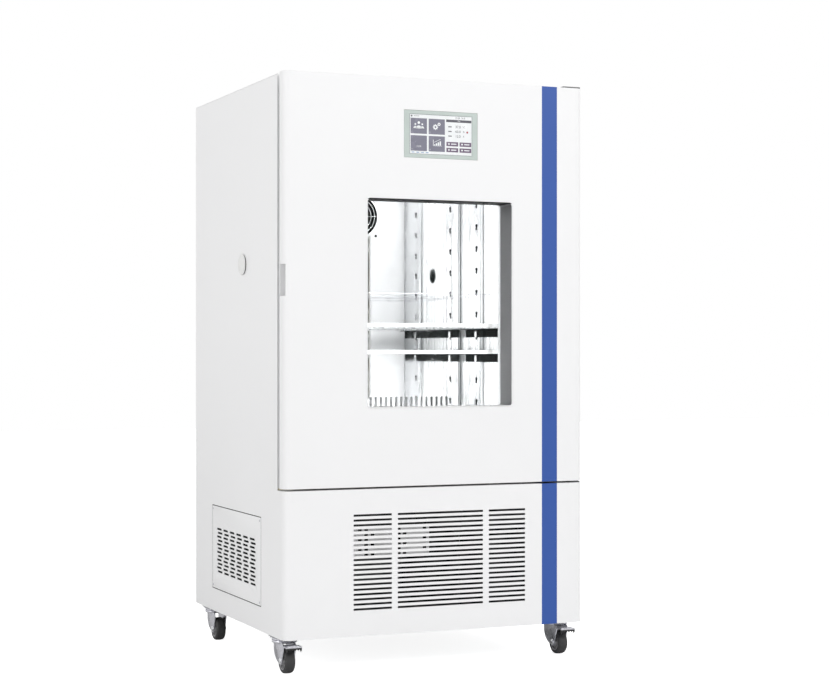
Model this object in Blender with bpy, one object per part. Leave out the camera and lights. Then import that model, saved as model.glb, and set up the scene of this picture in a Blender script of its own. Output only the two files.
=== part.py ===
"""An upright temperature and humidity incubator on casters, as separate pieces.

Sizes are in metres. Every place is measured from the cabinet body's left front bottom corner:
x to the right, y to the back, z up. The finished model has its origin on the floor, under the
centre of the body.
"""

import math

import bmesh
import bpy
from mathutils import Matrix, Vector

# Body
WIDTH = 0.740
DEPTH = 0.675
DOOR_TOP = 1.250
CABINET_TOP = 1.248
SHEET = 0.0015
CORNER_RADIUS = 0.016
FIT = 0.0003

# Sides of the polygons that stand for circles
LARGE_SIDES = 24
MIDDLE_SIDES = 16
SMALL_SIDES = 12

# Division between the machine compartment and the chamber
PANEL_TOP = 0.327
DOOR_BOTTOM = 0.3315
CABINET_FRONT = 0.043

# Door
DOOR_DEPTH = 0.029
PLUG_BACK = 0.098
PLUG_GAP = 0.012
WINDOW_LEFT = 0.196
WINDOW_RIGHT = 0.558
WINDOW_BOTTOM = 0.507
WINDOW_TOP = 0.977
WINDOW_RADIUS = 0.008
GLASS_DEPTH = 0.062
PANE = 0.005
PANE_SPACE = 0.012
PANE_REBATE = 0.010
LINING_WALL = 0.002
GASKET_WIDTH = 0.016
GASKET_INSET = 0.012
HINGE_SIDE_INSET = 0.025

# Hinges
HINGE_X = WIDTH - 0.018
HINGE_Y = 0.018
HINGE_PLATE_MARGIN = 0.004
TOP_HINGE_WIDTH = 0.044
TOP_HINGE_FRONT = 0.005
TOP_HINGE_BACK = 0.100
TOP_HINGE_FOOT = 0.050
BOTTOM_HINGE_HALF = 0.0135
BOTTOM_HINGE_FRONT = 0.006
HINGE_PIN_RADIUS = 0.004
HINGE_PIN_LENGTH = 0.014
HINGE_PLATE = 0.003
RUNNING_FIT = 0.0004

# Touch display
BEZEL_LEFT = 0.286
BEZEL_RIGHT = 0.468
BEZEL_BOTTOM = 1.071
BEZEL_TOP = 1.178
BEZEL_DEPTH = 0.008
SCREEN_WIDTH = 0.154
SCREEN_HEIGHT = 0.089
SCREEN_RECESS = 0.0008
SCREEN_THICKNESS = 0.003

# Handle recess in the free edge of the door
HANDLE_FRONT = 0.004
HANDLE_BACK = 0.023
HANDLE_BOTTOM = 0.756
HANDLE_HEIGHT = 0.070
HANDLE_REACH = 0.026
HANDLE_WALL = 0.0012

# Chamber
CHAMBER_WALL = 0.070
CHAMBER_FLOOR = 0.385
CHAMBER_TOP = 1.200
CHAMBER_BACK = 0.575
LINER_SHEET = 0.001
DUCT_Y = 0.500
DUCT_SHEET = 0.0012
DUCT_RETURN = 0.014
DUCT_SLOT_COUNT = 36
DUCT_SLOT_PITCH = 0.014
DUCT_SLOT_WIDTH = 0.006
DUCT_SLOT_BOTTOM = 0.430
DUCT_SLOT_TOP = 0.518

# Circulation fan
FAN_Z = 0.974
FAN_SIZE = 0.120
FAN_FRAME_DEPTH = 0.038
FAN_BORE_RADIUS = 0.0575
FAN_BLADE_TIP = 0.055
FAN_HUB_RADIUS = 0.021
FAN_SHAFT_RADIUS = 0.0025
FAN_WHEEL_DEPTH = 0.018
FAN_WHEEL_SET_BACK = 0.0155
FAN_STRUT_WIDTH = 0.006
FAN_STRUT_DEPTH = 0.004
FAN_BLADES = 7
FAN_BLADE_WIDTH = 0.020
BLADE_THICK = 0.0016
BLADE_ROOT = 0.8
BLADE_PITCH = 35
HUB_FLOOR = 0.3
MOTOR_DEPTH = 0.012
GUARD_RADIUS = 0.057
GUARD_RING_COUNT = 4
GUARD_SIDES = 14
GUARD_RING_PITCH = 0.0133
GUARD_WIRE = 0.0022
GUARD_BOSS_RADIUS = 0.008

# Slotted uprights, runners and shelves
UPRIGHT_WIDTH = 0.020
UPRIGHT_DEPTH = 0.008
UPRIGHT_BOTTOM = 0.395
UPRIGHT_TOP = 1.190
UPRIGHT_YS = (0.175, 0.424)
UPRIGHT_SLOT_PITCH = 0.080
UPRIGHT_SLOT_COUNT = 10
UPRIGHT_SLOT_FIRST = 0.4325
UPRIGHT_SLOT_WIDTH = 0.006
UPRIGHT_SLOT_HEIGHT = 0.014
RUNNER_HEIGHT = 0.021
RUNNER_LEDGE = 0.017
RUNNER_FRONT = 0.118
RUNNER_BACK = 0.480
SHELF_UNDERSIDES = (0.6906, 0.6282)
SHELF_DEEP = 0.0085
SHELF_FRONT = 0.112
SHELF_BACK = 0.486
SHELF_SIDE_GAP = 0.003
SHELF_SHEET = 0.0012
SHELF_SLOT_COLUMNS = 8
SHELF_SLOT_ROWS = 2
SHELF_SLOT_WIDTH = 0.030
SHELF_SLOT_LENGTH = 0.150
SHELF_SLOT_PITCH_X = 0.068
SHELF_SLOT_PITCH_Y = 0.178

# Cable port through both side walls
PORT_Y = 0.287
PORT_Z = 0.836
PORT_BORE_RADIUS = 0.018
PORT_TUBE_WALL = 0.002
PORT_FLANGE_RADIUS = 0.0225
PORT_FLANGE = 0.0015
PLUG_CAP_RADIUS = 0.024
PLUG_CAP = 0.004
PLUG_STEM = 0.024

# Louvres in the lower front panel
LOUVRE_COLUMNS = ((0.1643, 0.2563), (0.2708, 0.4820), (0.4968, 0.5897))
LOUVRE_COUNT = 20
LOUVRE_FIRST = 0.060
LOUVRE_PITCH = 0.011
LOUVRE_SLOT = 0.0048
PANEL_RETURN = 0.041

# Service panel in each side
VENT_FRONT = 0.158
VENT_BACK = 0.531
VENT_BOTTOM = 0.057
VENT_TOP = 0.257
VENT_SHADOW_GAP = 0.002
VENT_LEDGE = 0.012
VENT_ROWS = 12
VENT_COLUMNS = 6
VENT_SLOT_LENGTH = 0.038
VENT_SLOT_HEIGHT = 0.005
VENT_PITCH_Y = 0.0510
VENT_PITCH_Z = 0.00935
VENT_STAGGER = 0.007
VENT_FIRST_Y = 0.214
VENT_FIRST_Z = 0.100

# Machine compartment
BASE_SHEET = 0.002
BASE_LIP = 0.022
COMPRESSOR_X = 0.560
COMPRESSOR_Y = 0.470
COMPRESSOR_RADIUS = 0.078
COMPRESSOR_HEIGHT = 0.190
COMPRESSOR_FOOT_WIDTH = 0.170
COMPRESSOR_FOOT_DEPTH = 0.110
COMPRESSOR_FOOT = 0.012
COMPRESSOR_BELLY = 0.040
COMPRESSOR_TAPER = 0.75
COMPRESSOR_SEAM = 0.100
COMPRESSOR_SEAM_HEIGHT = 0.006
COMPRESSOR_SEAM_LIP = 0.005
COMPRESSOR_DOME = 0.040
CONDENSER_SIDE = 0.012
CONDENSER_THICK = 0.030
CONDENSER_FRONT = 0.190
CONDENSER_BACK = 0.500
CONDENSER_HEIGHT = 0.260
CONDENSER_FINS = 16
FIN = 0.004
FIN_ROOT = 0.006
SHROUD_DEPTH = 0.038
BLOWER_BORE = 0.098
BLOWER_TIP = 0.094
BLOWER_HUB = 0.030
BLOWER_SHAFT = 0.004
BLOWER_WHEEL_DEPTH = 0.020
BLOWER_SET_BACK = 0.015
BLOWER_BAR = 0.010
BLOWER_BLADES = 5
BLOWER_BLADE_WIDTH = 0.022
TANK_WIDTH = 0.180
TANK_SIDE_CLEARANCE = 0.040
TANK_FRONT = 0.060
TANK_BACK = 0.220
TANK_CORNER = 0.012
TANK_HEIGHT = 0.200
TANK_NECK_RADIUS = 0.028
TANK_NECK = 0.016
CONTROL_BOX_LEFT = 0.165
CONTROL_BOX_RIGHT = 0.335
CONTROL_BOX_FRONT = 0.050
CONTROL_BOX_BACK = 0.190
CONTROL_BOX_DROP = 0.115
CONTROL_BOX_LIP = 0.010
EVAPORATOR_HALF_WIDTH = 0.240
EVAPORATOR_BOTTOM = 0.560
EVAPORATOR_TOP = 0.860
EVAPORATOR_DEPTH = 0.050
EVAPORATOR_FINS = 10

# Back
BACK_SLOT_COLUMNS = ((0.120, 0.340), (0.400, 0.620))
BACK_SLOT_COUNT = 5
BACK_SLOT_FIRST = 0.110
BACK_SLOT_PITCH = 0.018
BACK_SLOT_HEIGHT = 0.006
INLET_X = 0.090
INLET_Z = 0.060
INLET_WIDTH = 0.048
INLET_HEIGHT = 0.027
INLET_DEPTH = 0.024
INLET_RIM = 0.004
INLET_WALL = 0.003
INLET_SET_BACK = 0.001
INLET_BLADES = ((-0.008, -0.002), (0.008, -0.002), (0.0, 0.004))
INLET_BLADE_THICK = 0.002
INLET_BLADE_WIDTH = 0.0045
INLET_BLADE_LENGTH = 0.016

# Casters
CASTER_HEIGHT = 0.082
CASTER_X_INSET = 0.030
CASTER_FRONT_Y = 0.0805
CASTER_BACK_Y = 0.595
CASTER_PLATE_HALF = 0.029
CASTER_PLATE = 0.003
CASTER_OFFSET = 0.0155
WHEEL_RADIUS = 0.028
WHEEL_WIDTH = 0.024
WHEEL_SHOULDER = 0.004
HUB_RADIUS = 0.010
AXLE_RADIUS = 0.004
AXLE_HEAD_RADIUS = 0.007
AXLE_HEAD = 0.003
CHEEK = 0.0025
CHEEK_SPACE = 0.026
CHEEK_END_RADIUS = 0.009
CHEEK_FRONT = -0.034
CHEEK_SHOULDER = -0.022
CHEEK_BACK = 0.0285
CHEEK_HEEL = ((0.014, -0.0530), (0.0245, -0.0415), (CHEEK_BACK, -0.0310))
HEAD_RADIUS = 0.029
HEAD_HEIGHT = 0.012
HEAD_WALL = 0.003
KING_PIN_RADIUS = 0.005
KING_PIN_HEAD_RADIUS = 0.009
KING_PIN_HEAD = 0.003
PEDAL_PIN_RADIUS = 0.002
PEDAL_PIN_Y = -0.030
PEDAL_PIN_Z = -0.0205
PEDAL_BARREL_RADIUS = 0.0042
PEDAL_WIDTH = 0.038
PEDAL_REACH = 0.036
PEDAL_NECK_END = -0.0355
PEDAL_FLARE = 0.008
PEDAL_PLATE = 0.0025
PEDAL_LIP = 0.007
PEDAL_TEETH = 5
PEDAL_TOOTH_GAP = 0.003

BODY_CORNER = Vector((-WIDTH / 2, -DEPTH / 2, CASTER_HEIGHT))


def clear_scene():
    for obj in list(bpy.data.objects):
        bpy.data.objects.remove(obj, do_unlink=True)


def finish(name, colour, roughness, metallic=0.0, alpha=1.0):
    """A plain Principled material."""
    material = bpy.data.materials.new(name)
    material.use_nodes = True
    shader = material.node_tree.nodes["Principled BSDF"]
    shader.inputs["Base Color"].default_value = (*colour, 1.0)
    shader.inputs["Roughness"].default_value = roughness
    shader.inputs["Metallic"].default_value = metallic
    shader.inputs["Alpha"].default_value = alpha
    return material


def add_box(bm, low, high):
    """A closed box between two corners."""
    low, high = Vector(low), Vector(high)
    middle = (low + high) / 2
    place = Matrix.Translation(middle) @ Matrix.Diagonal((*(high - low), 1.0))
    bmesh.ops.create_cube(bm, size=1.0, matrix=place)


def boxes(*corners):
    """A mesh of separate boxes, from pairs of corners."""
    bm = bmesh.new()
    for low, high in corners:
        add_box(bm, low, high)
    return bm


def on_axis(axis, along, first, second):
    """A point from its distance along an axis and the two other coordinates, in x, y, z order."""
    values = [first, second]
    values.insert("xyz".index(axis), along)
    return Vector(values)


def add_prism(bm, outline, axis, start, end):
    """A closed outline, given in the two other coordinates, extruded along an axis."""
    first = [bm.verts.new(on_axis(axis, start, *point)) for point in outline]
    second = [bm.verts.new(on_axis(axis, end, *point)) for point in outline]
    bm.faces.new(first)
    bm.faces.new(reversed(second))
    for i, corner in enumerate(first):
        nearby = (i + 1) % len(first)
        bm.faces.new((corner, second[i], second[nearby], first[nearby]))


def prism(outline, axis, start, end):
    bm = bmesh.new()
    add_prism(bm, outline, axis, start, end)
    return bm


def arc(centre, radius, start, end, steps):
    """Points of an arc, angles in degrees, both ends included."""
    angles = [math.radians(start + (end - start) * i / steps) for i in range(steps + 1)]
    return [(centre[0] + radius * math.cos(a), centre[1] + radius * math.sin(a)) for a in angles]


def rounded_rectangle(low, high, radius, steps=3):
    corners = (
        ((high[0] - radius, high[1] - radius), 0),
        ((low[0] + radius, high[1] - radius), 90),
        ((low[0] + radius, low[1] + radius), 180),
        ((high[0] - radius, low[1] + radius), 270),
    )
    return [p for centre, turn in corners for p in arc(centre, radius, turn, turn + 90, steps)]


def circle(centre, radius, sides):
    """A regular polygon that has a flat side at the bottom."""
    return arc(centre, radius, 90 + 180 / sides, 450 - 180 / sides, sides - 1)


def add_turned(bm, profile, axis, centre, sides):
    """A closed profile of (distance along the axis, radius) points, turned about the axis."""
    rings = []
    for along, radius in profile:
        if radius == 0.0:
            rings.append([bm.verts.new(centre + on_axis(axis, along, 0.0, 0.0))])
            continue
        points = circle((0.0, 0.0), radius, sides)
        rings.append([bm.verts.new(centre + on_axis(axis, along, *p)) for p in points])
    for i, ring in enumerate(rings):
        other = rings[(i + 1) % len(rings)]
        if len(ring) == 1 and len(other) == 1:
            continue
        for j in range(sides):
            k = (j + 1) % sides
            corners = [ring[j % len(ring)], ring[k % len(ring)]]
            corners += [other[k % len(other)], other[j % len(other)]]
            bm.faces.new(list(dict.fromkeys(corners)))


def turned(profile, axis, centre, sides=MIDDLE_SIDES):
    bm = bmesh.new()
    add_turned(bm, profile, axis, Vector(centre), sides)
    return bm


def rod(axis, centre, radius, start, end, sides=MIDDLE_SIDES):
    """A solid cylinder between two distances along an axis, measured from its centre point."""
    return turned(((start, 0.0), (start, radius), (end, radius), (end, 0.0)), axis, centre, sides)


def joined(*parts):
    """Several meshes gathered in one, left as separate shells."""
    whole = bmesh.new()
    for part in parts:
        spare = bpy.data.meshes.new("spare")
        part.to_mesh(spare)
        part.free()
        whole.from_mesh(spare)
        bpy.data.meshes.remove(spare)
    return whole


def helper_object(bm):
    bmesh.ops.recalc_face_normals(bm, faces=bm.faces)
    mesh = bpy.data.meshes.new("helper")
    bm.to_mesh(mesh)
    bm.free()
    obj = bpy.data.objects.new("helper", mesh)
    obj.hide_render = True
    obj.display_type = "WIRE"
    bpy.context.scene.collection.objects.link(obj)
    return obj


def combine(bm, other, operation):
    """The exact Boolean of two meshes, as a new mesh."""
    target, tool = helper_object(bm), helper_object(other)
    modifier = target.modifiers.new("combine", "BOOLEAN")
    modifier.operation = operation
    modifier.object = tool
    modifier.solver = "EXACT"
    bpy.context.view_layer.update()
    evaluated = target.evaluated_get(bpy.context.evaluated_depsgraph_get())
    mesh = bpy.data.meshes.new_from_object(evaluated)
    result = bmesh.new()
    result.from_mesh(mesh)
    for used in (target, tool):
        shape = used.data
        bpy.data.objects.remove(used)
        bpy.data.meshes.remove(shape)
    bpy.data.meshes.remove(mesh)
    return result


def cut(bm, tool):
    return combine(bm, tool, "DIFFERENCE")


def fused(bm, *others):
    for other in others:
        bm = combine(bm, other, "UNION")
    return bm


def mirrored(bm):
    """The same shape for the right side of the body."""
    flip = Matrix.Translation((WIDTH, 0.0, 0.0)) @ Matrix.Diagonal((-1.0, 1.0, 1.0, 1.0))
    bmesh.ops.transform(bm, matrix=flip, verts=bm.verts)
    bmesh.ops.reverse_faces(bm, faces=bm.faces)
    return bm


def sided(bm, side):
    return mirrored(bm) if side == "right" else bm


def place(name, bm, material, pivot=(0.0, 0.0, 0.0), parent=None, smooth=False):
    """Makes the named piece, with its origin at the pivot."""
    pivot = Vector(pivot)
    bmesh.ops.recalc_face_normals(bm, faces=bm.faces)
    bmesh.ops.translate(bm, vec=-pivot, verts=bm.verts)
    mesh = bpy.data.meshes.new(name)
    bm.to_mesh(mesh)
    bm.free()
    mesh.materials.append(material)
    obj = bpy.data.objects.new(name, mesh)
    bpy.context.scene.collection.objects.link(obj)
    if smooth:
        mesh.shade_smooth()
        mesh.set_sharp_from_angle(angle=math.radians(35))
    return hang(obj, pivot, parent)


def hang(obj, pivot, parent):
    """Sets an object's place from the body's corner, under its parent."""
    obj["pivot"] = pivot
    if parent is None:
        obj.location = BODY_CORNER + Vector(pivot)
    else:
        obj.parent = parent
        obj.location = Vector(pivot) - Vector(parent["pivot"])
    return obj


def axis_empty(name, pivot, parent=None):
    """An empty on a joint's axis, which carries the pieces that move with it."""
    empty = bpy.data.objects.new(name, None)
    empty.empty_display_size = 0.05
    bpy.context.scene.collection.objects.link(empty)
    return hang(empty, Vector(pivot), parent)


def make_finishes():
    return {
        "white_paint": finish("white_paint", (0.90, 0.90, 0.91), 0.35),
        "grey_paint": finish("grey_paint", (0.45, 0.46, 0.47), 0.45),
        "stainless": finish("stainless", (0.80, 0.81, 0.82), 0.12, 1.0),
        "zinc": finish("zinc", (0.62, 0.62, 0.65), 0.30, 1.0),
        "aluminium": finish("aluminium", (0.75, 0.76, 0.77), 0.40, 1.0),
        "foam": finish("foam", (0.85, 0.80, 0.62), 0.90),
        "gasket": finish("gasket", (0.42, 0.43, 0.44), 0.70),
        "black_plastic": finish("black_plastic", (0.03, 0.03, 0.03), 0.45),
        "white_plastic": finish("white_plastic", (0.88, 0.88, 0.88), 0.40),
        "bezel": finish("bezel", (0.56, 0.60, 0.58), 0.40),
        "screen": finish("screen", (0.20, 0.22, 0.26), 0.10),
        "glass": finish("glass", (0.92, 0.96, 0.96), 0.02, 0.0, 0.25),
        "tyre": finish("tyre", (0.05, 0.05, 0.05), 0.70),
        "black_paint": finish("black_paint", (0.02, 0.02, 0.02), 0.40),
    }


# Casing


def vent_block(grow, start, end):
    """A block over the service panel's outline, larger by grow all round."""
    low = (start, VENT_FRONT - grow, VENT_BOTTOM - grow)
    high = (end, VENT_BACK + grow, VENT_TOP + grow)
    return boxes((low, high))


def port_hole(start, end):
    radius = PORT_BORE_RADIUS + PORT_TUBE_WALL + FIT
    return rod("x", (0.0, PORT_Y, PORT_Z), radius, start, end)


def side_panel():
    """The left casing side: full depth below, set back behind the door above."""
    top = CABINET_TOP - SHEET - FIT
    back = DEPTH - SHEET - FIT
    front = CORNER_RADIUS + FIT
    outline = (
        (front, 0.0),
        (back, 0.0),
        (back, top),
        (CABINET_FRONT, top),
        (CABINET_FRONT, PANEL_TOP),
        (front, PANEL_TOP),
    )
    panel = fused(prism(outline, "x", 0.0, SHEET), vent_block(VENT_LEDGE, SHEET / 2, 2 * SHEET))
    panel = cut(panel, vent_block(VENT_SHADOW_GAP, -SHEET, SHEET))
    panel = cut(panel, vent_block(-VENT_LEDGE, 0.0, 3 * SHEET))
    return cut(panel, port_hole(-SHEET, 3 * SHEET))


def service_panel():
    """The cover that lies flush in the casing side, screwed to the ledge behind it."""
    return vent_block(0.0, 0.0, SHEET - FIT)


def vented_service_panel():
    """The left service panel, with staggered rows of oblong slots before the condenser."""
    slots = []
    for row in range(VENT_ROWS):
        for column in range(VENT_COLUMNS):
            y = VENT_FIRST_Y + column * VENT_PITCH_Y + (row % 2) * VENT_STAGGER
            z = VENT_FIRST_Z + row * VENT_PITCH_Z
            low = (-SHEET, y - VENT_SLOT_LENGTH / 2, z - VENT_SLOT_HEIGHT / 2)
            high = (2 * SHEET, y + VENT_SLOT_LENGTH / 2, z + VENT_SLOT_HEIGHT / 2)
            slots.append((low, high))
    return cut(service_panel(), boxes(*slots))


def rounded_front(left, right, back, radius):
    """A plan outline whose two front corners are rounded."""
    front = left
    return (
        [(left, back)]
        + arc((left + radius, front + radius), radius, 180, 270, 6)
        + arc((right - radius, front + radius), radius, 270, 360, 6)
        + [(right, back)]
    )


def louvre_slots():
    slots = []
    for left, right in LOUVRE_COLUMNS:
        for i in range(LOUVRE_COUNT):
            z = LOUVRE_FIRST + i * LOUVRE_PITCH
            slots.append(((left, -SHEET, z - LOUVRE_SLOT / 2), (right, 2 * SHEET, z + LOUVRE_SLOT / 2)))
    return boxes(*slots)


def lower_front_panel():
    """A folded pan with rounded corners, its back open, and three columns of slots."""
    outside = prism(rounded_front(0.0, WIDTH, CORNER_RADIUS, CORNER_RADIUS), "z", 0.0, PANEL_TOP)
    inset = SHEET + FIT
    flange_low = boxes(((inset, CORNER_RADIUS / 2, 0.0), (WIDTH - inset, PANEL_RETURN, SHEET)))
    flange_high = boxes(
        ((inset, CORNER_RADIUS / 2, PANEL_TOP - SHEET), (WIDTH - inset, PANEL_RETURN, PANEL_TOP))
    )
    hollow = rounded_front(SHEET, WIDTH - SHEET, 2 * CORNER_RADIUS, CORNER_RADIUS - SHEET)
    panel = cut(outside, prism(hollow, "z", SHEET, PANEL_TOP - SHEET))
    panel = fused(panel, flange_low, flange_high)
    return cut(panel, louvre_slots())


def top_panel():
    return boxes(((0.0, CABINET_FRONT, CABINET_TOP - SHEET), (WIDTH, DEPTH, CABINET_TOP)))


def rear_panel():
    sheet = boxes(((0.0, DEPTH - SHEET, 0.0), (WIDTH, DEPTH, CABINET_TOP - SHEET - FIT)))
    slots = []
    for left, right in BACK_SLOT_COLUMNS:
        for i in range(BACK_SLOT_COUNT):
            z = BACK_SLOT_FIRST + i * BACK_SLOT_PITCH
            low = (left, DEPTH - 2 * SHEET, z - BACK_SLOT_HEIGHT / 2)
            slots.append((low, (right, DEPTH + SHEET, z + BACK_SLOT_HEIGHT / 2)))
    slots.append(inlet_block(FIT, DEPTH - 2 * SHEET, DEPTH + SHEET))
    return cut(sheet, boxes(*slots))


def inlet_block(grow, start, end):
    low = (INLET_X - INLET_WIDTH / 2 - grow, start, INLET_Z - INLET_HEIGHT / 2 - grow)
    high = (INLET_X + INLET_WIDTH / 2 + grow, end, INLET_Z + INLET_HEIGHT / 2 + grow)
    return low, high


def mains_inlet():
    """A recessed three-blade appliance inlet, let into the back from inside."""
    inner = DEPTH - INLET_DEPTH
    shell = fused(
        boxes(inlet_block(0.0, inner, DEPTH - FIT)),
        boxes(inlet_block(INLET_RIM, DEPTH - SHEET - FIT - INLET_RIM / 2, DEPTH - SHEET - FIT)),
    )
    shell = cut(shell, boxes(inlet_block(-INLET_WALL, inner + INLET_WALL, DEPTH + SHEET)))
    half_thick, half_width = INLET_BLADE_THICK / 2, INLET_BLADE_WIDTH / 2
    for offset, height in INLET_BLADES:
        x, z = INLET_X + offset, INLET_Z + height
        low = (x - half_thick, inner + INLET_WALL / 2, z - half_width)
        high = (x + half_thick, inner + INLET_BLADE_LENGTH, z + half_width)
        shell = fused(shell, boxes((low, high)))
    return shell


def caster_places():
    """Name and swivel axis of each caster, in plan."""
    for side, x in (("left", CASTER_X_INSET), ("right", WIDTH - CASTER_X_INSET)):
        for end, y in (("front", CASTER_FRONT_Y), ("rear", CASTER_BACK_Y)):
            yield f"{end}_{side}", x, y


def base_frame():
    """The bottom tray, with the casters' top plates and king pins."""
    side = SHEET + FIT
    front, back = PANEL_RETURN + FIT, DEPTH - SHEET - FIT
    tray = boxes(((side, front, 0.0), (WIDTH - side, back, BASE_LIP)))
    tray = cut(
        tray,
        boxes(
            (
                (side + BASE_SHEET, front + BASE_SHEET, BASE_SHEET),
                (WIDTH - side - BASE_SHEET, back - BASE_SHEET, 2 * BASE_LIP),
            )
        ),
    )
    for _, x, y in caster_places():
        inner = KING_PIN_RADIUS
        low = (max(x - CASTER_PLATE_HALF, side), y - CASTER_PLATE_HALF, -CASTER_PLATE)
        high = (min(x + CASTER_PLATE_HALF, WIDTH - side), y + CASTER_PLATE_HALF, BASE_SHEET / 2)
        drop = -CASTER_PLATE - FIT - HEAD_WALL - FIT
        pin = turned(
            (
                (0.0, 0.0),
                (0.0, inner),
                (drop, inner),
                (drop, KING_PIN_HEAD_RADIUS),
                (drop - KING_PIN_HEAD, KING_PIN_HEAD_RADIUS),
                (drop - KING_PIN_HEAD, 0.0),
            ),
            "z",
            (x, y, 0.0),
            SMALL_SIDES,
        )
        tray = fused(tray, boxes((low, high)), pin)
    return tray


def deck():
    """The sheet that carries the chamber over the machine compartment."""
    side = SHEET + FIT
    front = PANEL_RETURN + FIT
    return boxes(
        ((side, front, PANEL_TOP - SHEET), (WIDTH - side, DEPTH - SHEET - FIT, PANEL_TOP))
    )


# Chamber


def chamber_block(grow, start, end):
    low = (CHAMBER_WALL - grow, start, CHAMBER_FLOOR - grow)
    return low, (WIDTH - CHAMBER_WALL + grow, end, CHAMBER_TOP + grow)


def foam_insulation():
    side = SHEET + FIT
    front = CABINET_FRONT + FIT + LINER_SHEET + FIT
    low = (side, front, PANEL_TOP + FIT)
    high = (WIDTH - side, DEPTH - SHEET - FIT, CABINET_TOP - SHEET - 2 * FIT)
    grow = LINER_SHEET + FIT
    foam = cut(boxes((low, high)), boxes(chamber_block(grow, 0.0, CHAMBER_BACK + grow)))
    return cut(foam, port_hole(0.0, WIDTH))


def chamber_liner():
    """The welded stainless chamber with its front flange, open to the front."""
    front = CABINET_FRONT + FIT
    box = boxes(chamber_block(LINER_SHEET, front, CHAMBER_BACK + LINER_SHEET))
    side = SHEET + FIT
    flange = boxes(
        ((side, front, DOOR_BOTTOM), (WIDTH - side, front + LINER_SHEET, CABINET_TOP - SHEET - FIT))
    )
    liner = fused(box, flange)
    liner = cut(liner, boxes(chamber_block(0.0, 0.0, CHAMBER_BACK)))
    return cut(liner, port_hole(0.0, WIDTH))


def duct_panel():
    """The rear air duct cover: a fan opening above and a row of tall slots below."""
    low = (CHAMBER_WALL + FIT, DUCT_Y, CHAMBER_FLOOR + FIT)
    high = (WIDTH - CHAMBER_WALL - FIT, DUCT_Y + DUCT_RETURN, CHAMBER_TOP - FIT)
    pan = boxes((low, high))
    inner_low = (low[0] + DUCT_SHEET, DUCT_Y + DUCT_SHEET, CHAMBER_FLOOR - FIT)
    inner_high = (high[0] - DUCT_SHEET, DUCT_Y + 2 * DUCT_RETURN, CHAMBER_TOP + FIT)
    pan = cut(pan, boxes((inner_low, inner_high)))
    first = WIDTH / 2 - DUCT_SLOT_PITCH * (DUCT_SLOT_COUNT - 1) / 2
    slots = []
    for i in range(DUCT_SLOT_COUNT):
        x = first + i * DUCT_SLOT_PITCH
        slots.append(
            (
                (x - DUCT_SLOT_WIDTH / 2, DUCT_Y - DUCT_SHEET, DUCT_SLOT_BOTTOM),
                (x + DUCT_SLOT_WIDTH / 2, DUCT_Y + 2 * DUCT_SHEET, DUCT_SLOT_TOP),
            )
        )
    pan = cut(pan, boxes(*slots))
    hole = rod("y", (WIDTH / 2, DUCT_Y, FAN_Z), FAN_BORE_RADIUS, -DUCT_RETURN, DUCT_RETURN, LARGE_SIDES)
    return cut(pan, hole)


def fan_centre(y):
    return (WIDTH / 2, y, FAN_Z)


def fan_frame():
    """A square axial fan housing with its bore, motor cup, struts and shaft."""
    front = DUCT_Y + DUCT_SHEET + FIT
    back = front + FAN_FRAME_DEPTH
    half = FAN_SIZE / 2
    block = boxes(((WIDTH / 2 - half, front, FAN_Z - half), (WIDTH / 2 + half, back, FAN_Z + half)))
    reach = 2 * FAN_FRAME_DEPTH
    block = cut(block, rod("y", fan_centre(front), FAN_BORE_RADIUS, -reach, reach, LARGE_SIDES))
    cup = back - MOTOR_DEPTH
    motor = rod("y", fan_centre(0.0), FAN_HUB_RADIUS, cup, back)
    tip = shaft_tip(front + FAN_WHEEL_SET_BACK, FAN_WHEEL_DEPTH)
    shaft = rod("y", fan_centre(0.0), FAN_SHAFT_RADIUS, tip, back - MOTOR_DEPTH / 2, SMALL_SIDES)
    reach, half_bar = FAN_BORE_RADIUS + SHEET, FAN_STRUT_WIDTH / 2
    struts = []
    for turn in (0, 90):
        bar = boxes(((-reach, back - FAN_STRUT_DEPTH, -half_bar), (reach, back, half_bar)))
        turning = Matrix.Translation(fan_centre(0.0)) @ Matrix.Rotation(math.radians(turn), 4, "Y")
        bmesh.ops.transform(bar, matrix=turning, verts=bar.verts)
        struts.append(bar)
    return fused(block, *struts, motor, shaft)


def shaft_tip(middle, depth):
    """Where a shaft ends, just short of the closed floor of its wheel's hub."""
    return middle - HUB_FLOOR * depth + FIT


def blade(root, tip, width, turn, axis):
    """One flat fan blade, pitched about its own radius and turned about the fan's axis."""
    bm = boxes(((root, -width / 2, -BLADE_THICK / 2), (tip, width / 2, BLADE_THICK / 2)))
    pitching = Matrix.Rotation(math.radians(BLADE_PITCH), 4, "X")
    turning = Matrix.Rotation(math.radians(turn), 4, "Z")
    bmesh.ops.transform(bm, matrix=turning @ pitching, verts=bm.verts)
    if axis == "y":
        bmesh.ops.rotate(bm, verts=bm.verts, matrix=Matrix.Rotation(math.radians(-90), 3, "X"))
    else:
        bmesh.ops.rotate(bm, verts=bm.verts, matrix=Matrix.Rotation(math.radians(90), 3, "Y"))
    return bm


def rotor(axis, centre, hub_radius, tip, depth, shaft_radius, blades, width):
    """A fan wheel: a cup-shaped hub bored from behind for its shaft, and flat pitched blades."""
    bore = shaft_radius + RUNNING_FIT
    profile = (
        (depth / 2, bore),
        (depth / 2, hub_radius),
        (-depth / 2, hub_radius),
        (-depth / 2, 0.0),
        (-HUB_FLOOR * depth, 0.0),
        (-HUB_FLOOR * depth, bore),
    )
    wheel = turned(profile, axis, centre)
    arms = []
    for i in range(blades):
        arm = blade(hub_radius * BLADE_ROOT, tip, width, 360 * i / blades, axis)
        bmesh.ops.translate(arm, vec=Vector(centre), verts=arm.verts)
        arms.append(arm)
    return fused(wheel, *arms)


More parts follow.
